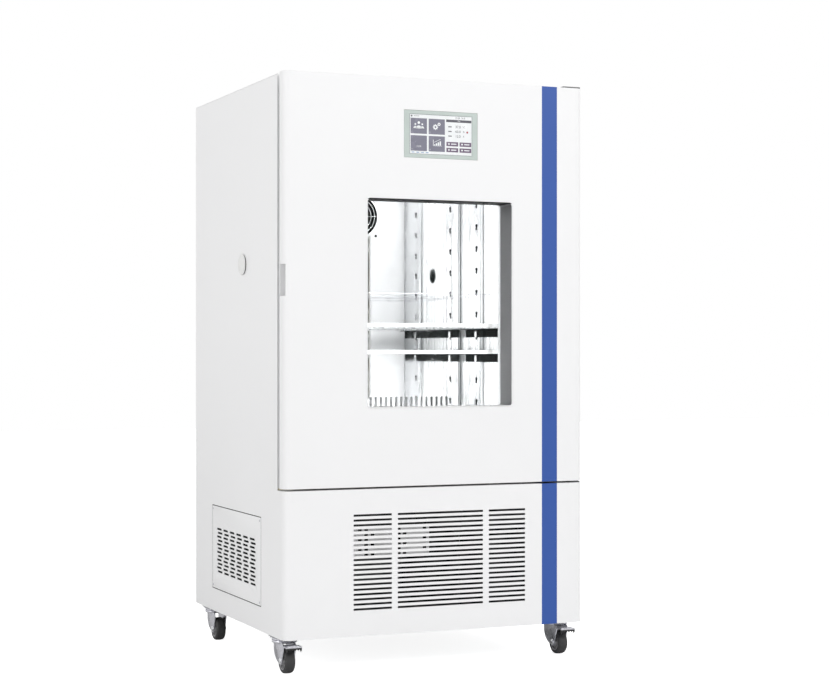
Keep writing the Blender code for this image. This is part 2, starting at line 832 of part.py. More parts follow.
def fan_guard():
    """Concentric wire rings on four spokes, with a boss in the middle."""
    back = DUCT_Y - FIT
    front = back - GUARD_WIRE
    parts = []
    for i in range(GUARD_RING_COUNT):
        radius = GUARD_RADIUS - i * GUARD_RING_PITCH
        inner, outer = radius - GUARD_WIRE / 2, radius + GUARD_WIRE / 2
        profile = ((front, inner), (front, outer), (back, outer), (back, inner))
        parts.append(turned(profile, "y", fan_centre(0.0), GUARD_SIDES))
    parts.append(rod("y", fan_centre(0.0), GUARD_BOSS_RADIUS, front, back, SMALL_SIDES))
    reach = GUARD_RADIUS
    for turn in (45, 135):
        bar = boxes(((-reach, front, -GUARD_WIRE / 2), (reach, back, GUARD_WIRE / 2)))
        turning = Matrix.Translation(fan_centre(0.0)) @ Matrix.Rotation(math.radians(turn), 4, "Y")
        bmesh.ops.transform(bar, matrix=turning, verts=bar.verts)
        parts.append(bar)
    return fused(*parts)


def comb(length, depth, root, fin, count, start, end):
    """A finned block as one outline: count fins across length, extruded along z."""
    pitch = (length - fin) / (count - 1)
    outline = [(0.0, 0.0), (length, 0.0)]
    for i in reversed(range(count)):
        left, right = i * pitch, i * pitch + fin
        outline += [(right, root), (right, depth), (left, depth), (left, root)]
    # The end fins' outer faces are the block's own ends.
    outline.pop(2)
    outline.pop()
    return prism(outline, "z", start, end)


def evaporator():
    """The finned cooling coil behind the duct panel, against the chamber's back wall."""
    coil = comb(
        2 * EVAPORATOR_HALF_WIDTH,
        EVAPORATOR_DEPTH,
        FIN_ROOT,
        FIN,
        EVAPORATOR_FINS,
        EVAPORATOR_BOTTOM,
        EVAPORATOR_TOP,
    )
    turn = Matrix.Rotation(math.pi, 4, "Z")
    shift = Matrix.Translation((WIDTH / 2 + EVAPORATOR_HALF_WIDTH, CHAMBER_BACK - FIT, 0.0))
    bmesh.ops.transform(coil, matrix=shift @ turn, verts=coil.verts)
    return coil


def upright(y):
    """A slotted channel on the left chamber wall."""
    wall = CHAMBER_WALL + FIT
    face = wall + UPRIGHT_DEPTH
    half = UPRIGHT_WIDTH / 2
    outline = (
        (wall, y - half),
        (face, y - half),
        (face, y + half),
        (wall, y + half),
        (wall, y + half - DUCT_SHEET),
        (face - DUCT_SHEET, y + half - DUCT_SHEET),
        (face - DUCT_SHEET, y - half + DUCT_SHEET),
        (wall, y - half + DUCT_SHEET),
    )
    slots = []
    for i in range(UPRIGHT_SLOT_COUNT):
        z = UPRIGHT_SLOT_FIRST + i * UPRIGHT_SLOT_PITCH
        low = (face - 2 * DUCT_SHEET, y - UPRIGHT_SLOT_WIDTH / 2, z - UPRIGHT_SLOT_HEIGHT / 2)
        slots.append((low, (face + DUCT_SHEET, y + UPRIGHT_SLOT_WIDTH / 2, z + UPRIGHT_SLOT_HEIGHT / 2)))
    return cut(prism(outline, "z", UPRIGHT_BOTTOM, UPRIGHT_TOP), boxes(*slots))


def runner(underside):
    """The angle on the left wall that carries one side of a shelf."""
    web = CHAMBER_WALL + UPRIGHT_DEPTH + 2 * FIT
    top = underside - FIT
    bottom = top - RUNNER_HEIGHT
    outline = (
        (web, bottom),
        (web + SHEET, bottom),
        (web + SHEET, top - SHEET),
        (web + RUNNER_LEDGE, top - SHEET),
        (web + RUNNER_LEDGE, top),
        (web, top),
    )
    return prism(outline, "y", RUNNER_FRONT, RUNNER_BACK)


def shelf(underside):
    """A punched tray with edges folded down all round."""
    side = CHAMBER_WALL + UPRIGHT_DEPTH + 2 * FIT + SHEET + SHELF_SIDE_GAP
    top = underside + SHELF_DEEP
    tray = boxes(((side, SHELF_FRONT, underside), (WIDTH - side, SHELF_BACK, top)))
    wall = SHELF_SHEET
    low = (side + wall, SHELF_FRONT + wall, underside - wall)
    tray = cut(tray, boxes((low, (WIDTH - side - wall, SHELF_BACK - wall, top - wall))))
    slots = []
    middle = (SHELF_FRONT + SHELF_BACK) / 2
    for i in range(SHELF_SLOT_COLUMNS):
        x = WIDTH / 2 + (i - (SHELF_SLOT_COLUMNS - 1) / 2) * SHELF_SLOT_PITCH_X
        for j in range(SHELF_SLOT_ROWS):
            y = middle + (j - (SHELF_SLOT_ROWS - 1) / 2) * SHELF_SLOT_PITCH_Y
            low = (x - SHELF_SLOT_WIDTH / 2, y - SHELF_SLOT_LENGTH / 2, top - 2 * wall)
            slots.append((low, (x + SHELF_SLOT_WIDTH / 2, y + SHELF_SLOT_LENGTH / 2, top + wall)))
    return cut(tray, boxes(*slots))


# Cable port


def port_bushing():
    """The flanged tube through the left wall."""
    bore = PORT_BORE_RADIUS
    tube = bore + PORT_TUBE_WALL
    flange = -FIT - PORT_FLANGE
    profile = (
        (flange, bore),
        (flange, PORT_FLANGE_RADIUS),
        (-FIT, PORT_FLANGE_RADIUS),
        (-FIT, tube),
        (CHAMBER_WALL, tube),
        (CHAMBER_WALL, bore),
    )
    return turned(profile, "x", (0.0, PORT_Y, PORT_Z))


def port_plug():
    """The stopper: a domed cap on a stem that fills the tube's mouth."""
    seat = -2 * FIT - PORT_FLANGE
    stem = PORT_BORE_RADIUS - FIT
    profile = (
        (seat - PLUG_CAP, 0.0),
        (seat - PLUG_CAP, PLUG_CAP_RADIUS - PLUG_CAP / 2),
        (seat - PLUG_CAP / 2, PLUG_CAP_RADIUS),
        (seat, PLUG_CAP_RADIUS),
        (seat, stem),
        (seat + PLUG_STEM, stem - 2 * FIT),
        (seat + PLUG_STEM, 0.0),
    )
    return turned(profile, "x", (0.0, PORT_Y, PORT_Z))


# Door


def window_block(grow, start, end):
    low = (WINDOW_LEFT - grow, WINDOW_BOTTOM - grow)
    high = (WINDOW_RIGHT + grow, WINDOW_TOP + grow)
    return prism(rounded_rectangle(low, high, max(WINDOW_RADIUS + grow, FIT)), "y", start, end)


def bezel_block(grow, start, end):
    low = (BEZEL_LEFT - grow, start, BEZEL_BOTTOM - grow)
    return boxes((low, (BEZEL_RIGHT + grow, end, BEZEL_TOP + grow)))


def handle_block(grow, start, end):
    low = (start, HANDLE_FRONT - grow, HANDLE_BOTTOM - grow)
    return boxes((low, (end, HANDLE_BACK + grow, HANDLE_BOTTOM + HANDLE_HEIGHT + grow)))


def hinge_holes():
    """Bores for both hinge pins, up and down into the door."""
    radius = HINGE_PIN_RADIUS + RUNNING_FIT
    deep = HINGE_PIN_LENGTH + 4 * FIT
    return [
        rod("z", (HINGE_X, HINGE_Y, 0.0), radius, DOOR_BOTTOM - SHEET, DOOR_BOTTOM + deep, SMALL_SIDES),
        rod("z", (HINGE_X, HINGE_Y, 0.0), radius, DOOR_TOP - deep, DOOR_TOP + SHEET, SMALL_SIDES),
    ]


def bored(bm):
    for hole in hinge_holes():
        bm = cut(bm, hole)
    return bm


def door_shell():
    """The painted outer skin: a pan with two rounded front edges, open at the back."""
    back = DOOR_DEPTH - SHEET - FIT
    outside = prism(rounded_front(0.0, WIDTH, back, CORNER_RADIUS), "z", DOOR_BOTTOM, DOOR_TOP)
    hollow = rounded_front(SHEET, WIDTH - SHEET, 2 * DOOR_DEPTH, CORNER_RADIUS - SHEET)
    pan = cut(outside, prism(hollow, "z", DOOR_BOTTOM + SHEET, DOOR_TOP - SHEET))
    pan = cut(pan, window_block(0.0, -SHEET, 2 * SHEET))
    pan = cut(pan, bezel_block(FIT, -SHEET, 2 * SHEET))
    pan = cut(pan, handle_block(0.0, -SHEET, CORNER_RADIUS))
    return bored(pan)


def plug_block(grow, start, end):
    gap = PLUG_GAP - grow
    low = (CHAMBER_WALL + gap, start, CHAMBER_FLOOR + gap)
    return low, (WIDTH - CHAMBER_WALL - gap, end, CHAMBER_TOP - gap)


def glass_back():
    return GLASS_DEPTH + 2 * PANE + PANE_SPACE + 2 * FIT


def door_foam():
    """The insulation that fills the door between its skin and its inner panel."""
    skin = SHEET + FIT
    back = DOOR_DEPTH - SHEET - 2 * FIT
    outline = rounded_front(skin, WIDTH - skin, back, CORNER_RADIUS - skin)
    slab = prism(outline, "z", DOOR_BOTTOM + skin, DOOR_TOP - skin)
    plug = boxes(plug_block(-SHEET - FIT, back / 2, PLUG_BACK - SHEET - FIT))
    foam = fused(slab, plug)
    foam = cut(foam, window_block(FIT, 0.0, 2 * PLUG_BACK))
    foam = cut(foam, window_block(PANE_REBATE + FIT, GLASS_DEPTH - FIT, 2 * PLUG_BACK))
    foam = cut(foam, bezel_block(FIT, 0.0, BEZEL_DEPTH + FIT))
    reach = HANDLE_REACH + HANDLE_WALL + FIT
    foam = cut(foam, handle_block(HANDLE_WALL + FIT, -SHEET, reach))
    return bored(foam)


def door_inner_panel():
    """The stainless back of the door, pressed out into the plug that enters the chamber."""
    side = FIT
    rim = boxes(
        (
            (side, DOOR_DEPTH - SHEET, DOOR_BOTTOM + side),
            (WIDTH - side, DOOR_DEPTH, DOOR_TOP - side),
        )
    )
    plug = boxes(plug_block(0.0, DOOR_DEPTH - SHEET / 2, PLUG_BACK))
    panel = fused(rim, plug)
    panel = cut(panel, boxes(plug_block(-SHEET, 0.0, PLUG_BACK - SHEET)))
    panel = cut(panel, window_block(0.0, 0.0, 2 * PLUG_BACK))
    sleeve = window_block(SHEET / 2, glass_back() + FIT, PLUG_BACK)
    return fused(panel, cut(sleeve, window_block(-SHEET / 2, 0.0, 2 * PLUG_BACK)))


def window_lining():
    """The deep reveal round the glass, from the door's face to the outer pane."""
    outer = window_block(-FIT, FIT, GLASS_DEPTH - FIT)
    return cut(outer, window_block(-FIT - LINING_WALL, -SHEET, 2 * GLASS_DEPTH))


def pane(start):
    return window_block(PANE_REBATE, start, start + PANE)


def window_spacer():
    start = GLASS_DEPTH + PANE + FIT
    outer = window_block(PANE_REBATE, start, start + PANE_SPACE)
    return cut(outer, window_block(0.0, 0.0, 2 * PLUG_BACK))


def door_gasket():
    """The magnetic seal on the door's inner panel, against the cabinet's front flange."""
    start, end = DOOR_DEPTH + FIT, CABINET_FRONT
    low = (GASKET_INSET, DOOR_BOTTOM + GASKET_INSET)
    high = (WIDTH - HINGE_SIDE_INSET, CABINET_TOP - GASKET_INSET)
    outer = prism(rounded_rectangle(low, high, GASKET_INSET), "y", start, end)
    width = GASKET_WIDTH
    inner_low = (low[0] + width, low[1] + width)
    inner_high = (high[0] - width, high[1] - width)
    hole = prism(rounded_rectangle(inner_low, inner_high, FIT, 1), "y", 0.0, 2 * end)
    return cut(outer, hole)


def display_bezel():
    """The frame of the touch display, flush with the door."""
    frame = bezel_block(0.0, 0.0, BEZEL_DEPTH)
    return cut(frame, boxes(screen_corners(FIT, -SHEET, SCREEN_RECESS + SCREEN_THICKNESS + FIT)))


def screen_corners(grow, start, end):
    x, z = (BEZEL_LEFT + BEZEL_RIGHT) / 2, (BEZEL_BOTTOM + BEZEL_TOP) / 2
    half_x, half_z = SCREEN_WIDTH / 2 + grow, SCREEN_HEIGHT / 2 + grow
    return (x - half_x, start, z - half_z), (x + half_x, end, z + half_z)


def display_screen():
    return boxes(screen_corners(0.0, SCREEN_RECESS, SCREEN_RECESS + SCREEN_THICKNESS))


def handle_cup():
    """The finger recess let into the door's free edge."""
    skin = SHEET + FIT
    inside = rounded_front(skin, WIDTH, DOOR_DEPTH, CORNER_RADIUS - skin)
    outer = handle_block(HANDLE_WALL, 0.0, HANDLE_REACH + HANDLE_WALL)
    cup = combine(outer, prism(inside, "z", DOOR_BOTTOM, DOOR_TOP), "INTERSECT")
    return cut(cup, handle_block(0.0, -SHEET, HANDLE_REACH))


def hinge_plate(low_corner, high_corner, foot, pin_start, pin_end, collar):
    plate = boxes((low_corner, high_corner))
    if foot is not None:
        plate = fused(plate, boxes(foot))
    centre = (HINGE_X, HINGE_Y, 0.0)
    pin = rod("z", centre, HINGE_PIN_RADIUS, pin_start, pin_end, SMALL_SIDES)
    washer = rod("z", centre, 2 * HINGE_PIN_RADIUS, *collar, SMALL_SIDES)
    return fused(plate, pin, washer)


def top_hinge():
    """The bracket on the cabinet's top, with the pin down into the door."""
    bottom = DOOR_TOP + 2 * FIT
    top = bottom + HINGE_PLATE
    right = WIDTH - HINGE_PLATE_MARGIN
    left = right - TOP_HINGE_WIDTH
    low = (left, TOP_HINGE_FRONT, bottom)
    high = (right, TOP_HINGE_BACK, top)
    foot = (
        (left, TOP_HINGE_FOOT, CABINET_TOP + FIT),
        (right, TOP_HINGE_BACK, bottom + HINGE_PLATE / 2),
    )
    washer = (DOOR_TOP + FIT, bottom + HINGE_PLATE / 2)
    return hinge_plate(low, high, foot, DOOR_TOP - HINGE_PIN_LENGTH, top - FIT, washer)


def bottom_hinge():
    """The bracket on the lower front panel's top, with the pin up into the door."""
    bottom = PANEL_TOP + FIT
    top = bottom + HINGE_PLATE
    low = (HINGE_X - BOTTOM_HINGE_HALF, BOTTOM_HINGE_FRONT, bottom)
    high = (HINGE_X + BOTTOM_HINGE_HALF, CABINET_FRONT - FIT, top)
    washer = (bottom + HINGE_PLATE / 2, DOOR_BOTTOM - FIT)
    return hinge_plate(low, high, None, bottom + FIT, DOOR_BOTTOM + HINGE_PIN_LENGTH, washer)


# Machine compartment


def compressor():
    """A hermetic compressor: a lidded pot on a foot plate."""
    floor = BASE_SHEET + FIT
    centre = (COMPRESSOR_X, COMPRESSOR_Y, 0.0)
    half_x, half_y = COMPRESSOR_FOOT_WIDTH / 2, COMPRESSOR_FOOT_DEPTH / 2
    low = (COMPRESSOR_X - half_x, COMPRESSOR_Y - half_y, floor)
    foot = boxes((low, (COMPRESSOR_X + half_x, COMPRESSOR_Y + half_y, floor + COMPRESSOR_FOOT)))
    radius, top, dome = COMPRESSOR_RADIUS, COMPRESSOR_HEIGHT, COMPRESSOR_DOME
    seam, seam_top = COMPRESSOR_SEAM, COMPRESSOR_SEAM + COMPRESSOR_SEAM_HEIGHT
    lip = radius + COMPRESSOR_SEAM_LIP
    base = floor + COMPRESSOR_FOOT / 2
    profile = [(base, 0.0), (base, radius * COMPRESSOR_TAPER), (COMPRESSOR_BELLY, radius)]
    profile += [(seam, radius), (seam, lip), (seam_top, lip), (seam_top, radius)]
    quarter = arc((0.0, 0.0), 1.0, 0, 90, 3)[1:-1]
    profile += [(top - dome + dome * rise, radius * out) for out, rise in quarter]
    profile += [(top, 0.0)]
    return fused(turned(profile, "z", centre), foot)


def condenser():
    """The finned condenser behind the left service panel."""
    length = CONDENSER_BACK - CONDENSER_FRONT
    floor = BASE_SHEET + FIT
    block = comb(length, CONDENSER_THICK, FIN_ROOT, FIN, CONDENSER_FINS, floor, CONDENSER_HEIGHT)
    turn = Matrix.Rotation(math.radians(90), 4, "Z")
    shift = Matrix.Translation((CONDENSER_SIDE + CONDENSER_THICK, CONDENSER_FRONT, 0.0))
    bmesh.ops.transform(block, matrix=shift @ turn, verts=block.verts)
    return block


def blower_centre(x):
    middle = (CONDENSER_FRONT + CONDENSER_BACK) / 2
    return (x, middle, (CONDENSER_HEIGHT + BASE_SHEET) / 2)


def condenser_shroud():
    """The duct plate behind the condenser, with the fan's opening, motor and struts."""
    start = CONDENSER_SIDE + CONDENSER_THICK + FIT
    end = start + SHROUD_DEPTH
    floor = BASE_SHEET + FIT
    low = (start, CONDENSER_FRONT, floor)
    plate = boxes((low, (end, CONDENSER_BACK, CONDENSER_HEIGHT)))
    plate = cut(plate, rod("x", blower_centre(0.0), BLOWER_BORE, 0.0, 2 * end, LARGE_SIDES))
    motor = rod("x", blower_centre(0.0), BLOWER_HUB, end - MOTOR_DEPTH, end)
    tip = shaft_tip(start + BLOWER_SET_BACK, BLOWER_WHEEL_DEPTH)
    shaft = rod("x", blower_centre(0.0), BLOWER_SHAFT, tip, end - MOTOR_DEPTH / 2, SMALL_SIDES)
    _, y, z = blower_centre(0.0)
    reach, half_bar = BLOWER_BORE + SHEET, BLOWER_BAR / 2
    near = end - half_bar
    across = boxes(((near, y - reach, z - half_bar), (end, y + reach, z + half_bar)))
    upright_bar = boxes(((near, y - half_bar, z - reach), (end, y + half_bar, z + reach)))
    return fused(plate, across, upright_bar, motor, shaft)


def humidifier_tank():
    """The water tank of the steam humidifier, with its filler neck."""
    floor = BASE_SHEET + FIT
    right = WIDTH - TANK_SIDE_CLEARANCE
    left = right - TANK_WIDTH
    outline = rounded_rectangle((left, TANK_FRONT), (right, TANK_BACK), TANK_CORNER)
    body = prism(outline, "z", floor, TANK_HEIGHT)
    centre = ((left + right) / 2, (TANK_FRONT + TANK_BACK) / 2, 0.0)
    return fused(body, rod("z", centre, TANK_NECK_RADIUS, TANK_HEIGHT / 2, TANK_HEIGHT + TANK_NECK))


def control_box():
    """The housing of the controller, hung under the deck behind the louvres."""
    top = PANEL_TOP - SHEET - FIT
    low = (CONTROL_BOX_LEFT, CONTROL_BOX_FRONT, top - CONTROL_BOX_DROP)
    body = boxes((low, (CONTROL_BOX_RIGHT, CONTROL_BOX_BACK, top)))
    lip = CONTROL_BOX_LIP
    low = (CONTROL_BOX_LEFT - lip, CONTROL_BOX_FRONT + lip, top - SHEET)
    ears = boxes((low, (CONTROL_BOX_RIGHT + lip, CONTROL_BOX_BACK - lip, top)))
    return fused(body, ears)


# Casters


def caster_fork():
    """The swivel head, two tapered cheeks, the axle with its heads and the pedal's pin, about the
    swivel axis with z from the body's underside."""
    top = -CASTER_PLATE - FIT
    inner = KING_PIN_RADIUS + RUNNING_FIT
    profile = (
        (top, inner),
        (top, HEAD_RADIUS),
        (top - HEAD_HEIGHT, HEAD_RADIUS),
        (top - HEAD_HEIGHT, HEAD_RADIUS - HEAD_WALL),
        (top - HEAD_WALL, HEAD_RADIUS - HEAD_WALL),
        (top - HEAD_WALL, inner),
    )
    head = turned(profile, "z", (0.0, 0.0, 0.0), SMALL_SIDES)
    axle_z = WHEEL_RADIUS - CASTER_HEIGHT
    upper = top - HEAD_WALL / 2
    end = arc((-CASTER_OFFSET, axle_z), CHEEK_END_RADIUS, 180, 300, 3)
    nose = 2 * PEDAL_PIN_RADIUS
    outline = [(CHEEK_SHOULDER, upper), (CHEEK_FRONT, PEDAL_PIN_Z + nose)]
    outline += [(CHEEK_FRONT, PEDAL_PIN_Z - nose)] + end
    outline += list(CHEEK_HEEL) + [(CHEEK_BACK, upper)]
    half = CHEEK_SPACE / 2
    left = prism(outline, "x", -half - CHEEK, -half)
    right = prism(outline, "x", half, half + CHEEK)
    outer = half + CHEEK + AXLE_HEAD
    inner_side = half + CHEEK / 2
    axle_profile = (
        (-outer, 0.0),
        (-outer, AXLE_HEAD_RADIUS),
        (-inner_side, AXLE_HEAD_RADIUS),
        (-inner_side, AXLE_RADIUS),
        (inner_side, AXLE_RADIUS),
        (inner_side, AXLE_HEAD_RADIUS),
        (outer, AXLE_HEAD_RADIUS),
        (outer, 0.0),
    )
    axle = turned(axle_profile, "x", (0.0, -CASTER_OFFSET, axle_z), SMALL_SIDES)
    return fused(head, left, right, axle)


def pedal_pin():
    """The pin between the cheeks that a brake pedal turns on."""
    half = CHEEK_SPACE / 2 + CHEEK / 2
    return rod("x", (0.0, PEDAL_PIN_Y, PEDAL_PIN_Z), PEDAL_PIN_RADIUS, -half, half, SMALL_SIDES)


def caster_wheel():
    """A plain tread with rounded shoulders, dished round a bored hub, about its own axle."""
    flat = 1 / math.cos(math.pi / MIDDLE_SIDES)
    radius = WHEEL_RADIUS * flat
    half, shoulder = WHEEL_WIDTH / 2, WHEEL_SHOULDER
    hub_half = CHEEK_SPACE / 2 - FIT
    bore = (AXLE_RADIUS + RUNNING_FIT) * flat
    profile = (
        (-hub_half, bore),
        (-hub_half, HUB_RADIUS),
        (-half + shoulder, HUB_RADIUS),
        (-half, radius - shoulder),
        (-half + shoulder, radius),
        (half - shoulder, radius),
        (half, radius - shoulder),
        (half - shoulder, HUB_RADIUS),
        (hub_half, HUB_RADIUS),
        (hub_half, bore),
    )
    return turned(profile, "x", (0.0, 0.0, 0.0))


def brake_pedal():
    """The foot plate with its barrel and toothed lower edge, about the swivel axis."""
    y, z = PEDAL_PIN_Y, PEDAL_PIN_Z
    half_in = CHEEK_SPACE / 2 - FIT
    bore = PEDAL_PIN_RADIUS + RUNNING_FIT
    barrel = turned(
        (
            (-half_in, bore),
            (-half_in, PEDAL_BARREL_RADIUS),
            (half_in, PEDAL_BARREL_RADIUS),
            (half_in, bore),
        ),
        "x",
        (0.0, y, z),
        SMALL_SIDES,
    )
    top = z + PEDAL_BARREL_RADIUS
    front = y - PEDAL_REACH
    half = PEDAL_WIDTH / 2
    flare = PEDAL_NECK_END - PEDAL_FLARE
    outline = ((-half_in, y), (-half_in, PEDAL_NECK_END), (-half, flare), (-half, front))
    outline += ((half, front), (half, flare), (half_in, PEDAL_NECK_END), (half_in, y))
    plate = prism(outline, "z", top - PEDAL_PLATE, top)
    lip = boxes(((-half, front, top - PEDAL_LIP), (half, front + PEDAL_PLATE, top)))
    teeth = []
    pitch = PEDAL_WIDTH / PEDAL_TEETH
    for i in range(1, PEDAL_TEETH):
        x = -half + i * pitch
        low = (x - PEDAL_TOOTH_GAP / 2, front - PEDAL_PLATE, top - 2 * PEDAL_LIP)
        teeth.append((low, (x + PEDAL_TOOTH_GAP / 2, front + 2 * PEDAL_PLATE, top - PEDAL_PLATE - FIT)))
    pedal = fused(barrel, plate, lip)
    pedal = cut(pedal, boxes(*teeth))
    keep = rod("x", (0.0, y, z), bore, -2 * half, 2 * half, SMALL_SIDES)
    return cut(pedal, keep)


def build_casing(paint, metal, plastic):
    for side in ("left", "right"):
        place(f"{side}_side_panel", sided(side_panel(), side), paint)
    place("left_service_panel", vented_service_panel(), paint)
    place("right_service_panel", mirrored(service_panel()), paint)
    place("lower_front_panel", lower_front_panel(), paint, smooth=True)
    place("top_panel", top_panel(), paint)
    place("rear_panel", rear_panel(), paint)
    place("base_frame", base_frame(), metal)
    place("deck", deck(), metal)
    place("mains_inlet", mains_inlet(), plastic)


def build_chamber(finishes):
    steel = finishes["stainless"]
    place("foam_insulation", foam_insulation(), finishes["foam"])
    place("chamber_liner", chamber_liner(), steel)
    place("duct_panel", duct_panel(), steel)
    place("fan_frame", fan_frame(), finishes["black_plastic"])
    place("fan_guard", fan_guard(), steel)
    place("evaporator", evaporator(), finishes["aluminium"])
    for side in ("left", "right"):
        for end, y in zip(("front", "rear"), UPRIGHT_YS):
            place(f"{side}_{end}_upright", sided(upright(y), side), steel)
        for level, underside in zip(("upper", "lower"), SHELF_UNDERSIDES):
            place(f"{side}_{level}_runner", sided(runner(underside), side), finishes["black_paint"])
    for level, underside in zip(("upper", "lower"), SHELF_UNDERSIDES):
        place(f"{level}_shelf", shelf(underside), steel)


def build_circulation_fan(plastic):
    centre = fan_centre(DUCT_Y + DUCT_SHEET + FIT + FAN_WHEEL_SET_BACK)
    spin = axis_empty("circulation_fan_axis", centre)
    sizes = (FAN_HUB_RADIUS, FAN_BLADE_TIP, FAN_WHEEL_DEPTH, FAN_SHAFT_RADIUS)
    wheel = rotor("y", centre, *sizes, FAN_BLADES, FAN_BLADE_WIDTH)
    place("circulation_fan", wheel, plastic, centre, spin)


def build_condenser_fan(plastic):
    centre = blower_centre(CONDENSER_SIDE + CONDENSER_THICK + FIT + BLOWER_SET_BACK)
    spin = axis_empty("condenser_fan_axis", centre)
    sizes = (BLOWER_HUB, BLOWER_TIP, BLOWER_WHEEL_DEPTH, BLOWER_SHAFT)
    wheel = rotor("x", centre, *sizes, BLOWER_BLADES, BLOWER_BLADE_WIDTH)
    place("condenser_fan", wheel, plastic, centre, spin)


def build_ports(tube_plastic, plug_plastic):
    for side in ("left", "right"):
        place(f"{side}_port_bushing", sided(port_bushing(), side), tube_plastic, smooth=True)
        x = 0.0 if side == "left" else WIDTH
        centre = (x, PORT_Y, PORT_Z)
        slide = axis_empty(f"{side}_port_axis", centre)
        plug = sided(port_plug(), side)
        place(f"{side}_port_plug", plug, plug_plastic, centre, slide, smooth=True)


def build_machine(finishes):
    place("compressor", compressor(), finishes["black_paint"], smooth=True)
    place("condenser", condenser(), finishes["aluminium"])
    place("condenser_shroud", condenser_shroud(), finishes["grey_paint"])
    place("humidifier_tank", humidifier_tank(), finishes["black_plastic"])
    place("control_box", control_box(), finishes["white_paint"])


def build_door(finishes):
    pivot = (HINGE_X, HINGE_Y, DOOR_BOTTOM)
    swing = axis_empty("door_axis", pivot)
    pieces = (
        ("door_shell", door_shell(), "white_paint", True),
        ("door_foam", door_foam(), "foam", False),
        ("door_inner_panel", door_inner_panel(), "stainless", False),
        ("window_lining", window_lining(), "grey_paint", False),
        ("window_outer_pane", pane(GLASS_DEPTH), "glass", False),
        ("window_spacer", window_spacer(), "aluminium", False),
        ("window_inner_pane", pane(GLASS_DEPTH + PANE + PANE_SPACE + 2 * FIT), "glass", False),
        ("door_gasket", door_gasket(), "gasket", False),
        ("display_bezel", display_bezel(), "bezel", False),
        ("display_screen", display_screen(), "screen", False),
        ("handle_cup", handle_cup(), "white_paint", False),
    )
    for name, shape, material, smooth in pieces:
        place(name, shape, finishes[material], pivot, swing, smooth)
    place("top_hinge", top_hinge(), finishes["black_paint"])
    place("bottom_hinge", bottom_hinge(), finishes["black_paint"])


def build_casters(finishes):
    for name, x, y in caster_places():
        swivel_at = Vector((x, y, 0.0))
        swivel = axis_empty(f"{name}_swivel_axis", swivel_at)
        fork = caster_fork()
        if name.startswith("front"):
            fork = fused(fork, pedal_pin())
        bmesh.ops.translate(fork, vec=swivel_at, verts=fork.verts)
        place(f"{name}_fork", fork, finishes["zinc"], swivel_at, swivel, smooth=True)
        axle_at = swivel_at + Vector((0.0, -CASTER_OFFSET, WHEEL_RADIUS - CASTER_HEIGHT))
        roll = axis_empty(f"{name}_wheel_axis", axle_at, swivel)
        wheel = caster_wheel()
        bmesh.ops.translate(wheel, vec=axle_at, verts=wheel.verts)
        place(f"{name}_wheel", wheel, finishes["tyre"], axle_at, roll, smooth=True)
        if name.startswith("front"):
            pin_at = swivel_at + Vector((0.0, PEDAL_PIN_Y, PEDAL_PIN_Z))
            press = axis_empty(f"{name}_pedal_axis", pin_at, swivel)
            pedal = brake_pedal()
            bmesh.ops.translate(pedal, vec=swivel_at, verts=pedal.verts)
            place(f"{name}_pedal", pedal, finishes["zinc"], pin_at, press)


def build():
    clear_scene()
    finishes = make_finishes()
    build_casing(finishes["white_paint"], finishes["grey_paint"], finishes["black_plastic"])
    build_chamber(finishes)
    build_circulation_fan(finishes["black_plastic"])
    build_machine(finishes)
    build_condenser_fan(finishes["black_plastic"])
    build_ports(finishes["black_plastic"], finishes["white_plastic"])
    build_door(finishes)
    build_casters(finishes)


build()
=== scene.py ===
# %% [markdown]
# # A temperature and humidity incubator
# This lesson dresses a finished mechanical model of an upright climate cabinet. The model's solids
# arrive as a fixed frame: they keep their size and place, and this script gives them their real
# finishes, the fine pieces that are too small for the solids, a camera and soft studio light.

# %% Load the fixed frame
import math

import bmesh
import bpy
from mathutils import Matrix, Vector


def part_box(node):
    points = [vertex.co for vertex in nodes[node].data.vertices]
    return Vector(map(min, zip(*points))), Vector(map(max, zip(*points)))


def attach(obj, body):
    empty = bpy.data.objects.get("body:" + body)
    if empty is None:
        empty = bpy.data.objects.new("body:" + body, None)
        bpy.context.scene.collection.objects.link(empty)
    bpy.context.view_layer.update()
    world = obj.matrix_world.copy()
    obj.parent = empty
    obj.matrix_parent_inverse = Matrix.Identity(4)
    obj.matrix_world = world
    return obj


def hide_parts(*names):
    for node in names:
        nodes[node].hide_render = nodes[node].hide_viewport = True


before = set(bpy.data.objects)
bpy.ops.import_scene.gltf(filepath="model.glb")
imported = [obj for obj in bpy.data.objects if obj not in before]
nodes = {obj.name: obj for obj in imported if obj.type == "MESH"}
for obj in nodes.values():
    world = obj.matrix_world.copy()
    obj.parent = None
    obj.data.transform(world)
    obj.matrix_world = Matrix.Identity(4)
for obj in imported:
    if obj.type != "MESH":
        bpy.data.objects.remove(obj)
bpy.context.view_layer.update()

# %% [markdown]
# ## Places on the cabinet
# A cabinet maker measures from one corner. The corner here is the body's left front bottom one, read
# from the door's skin and the lower front panel, so every place below follows the frame.

# %% Measure from the body's corner
door_low, door_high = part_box("door_shell")
panel_low, panel_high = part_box("lower_front_panel")
CORNER = Vector((door_low.x, door_low.y, panel_low.z))
BODY_WIDTH = door_high.x - door_low.x
HANDS = ((-1, "left"), (1, "right"))


def at(x, y, z):
    """A place on the cabinet, in metres from the body's left front bottom corner."""
    return CORNER + Vector((x, y, z))


def from_side(x, side):
    """A distance from the left wall, or the same distance from the right one."""
    return x if side < 0 else BODY_WIDTH - x


print("body width", round(BODY_WIDTH, 4), "corner", [round(v, 4) for v in CORNER])

# %% [markdown]
# ## Modelling helpers
# New pieces are modelled the way a person does it by hand: a primitive is added at its size and
# place, shaped in edit mode, and finished with modifiers that are applied. An operator acts on all
# that is selected, so every helper first clears the selection. A finished piece has its place in its
# mesh, and its object sits at the origin.

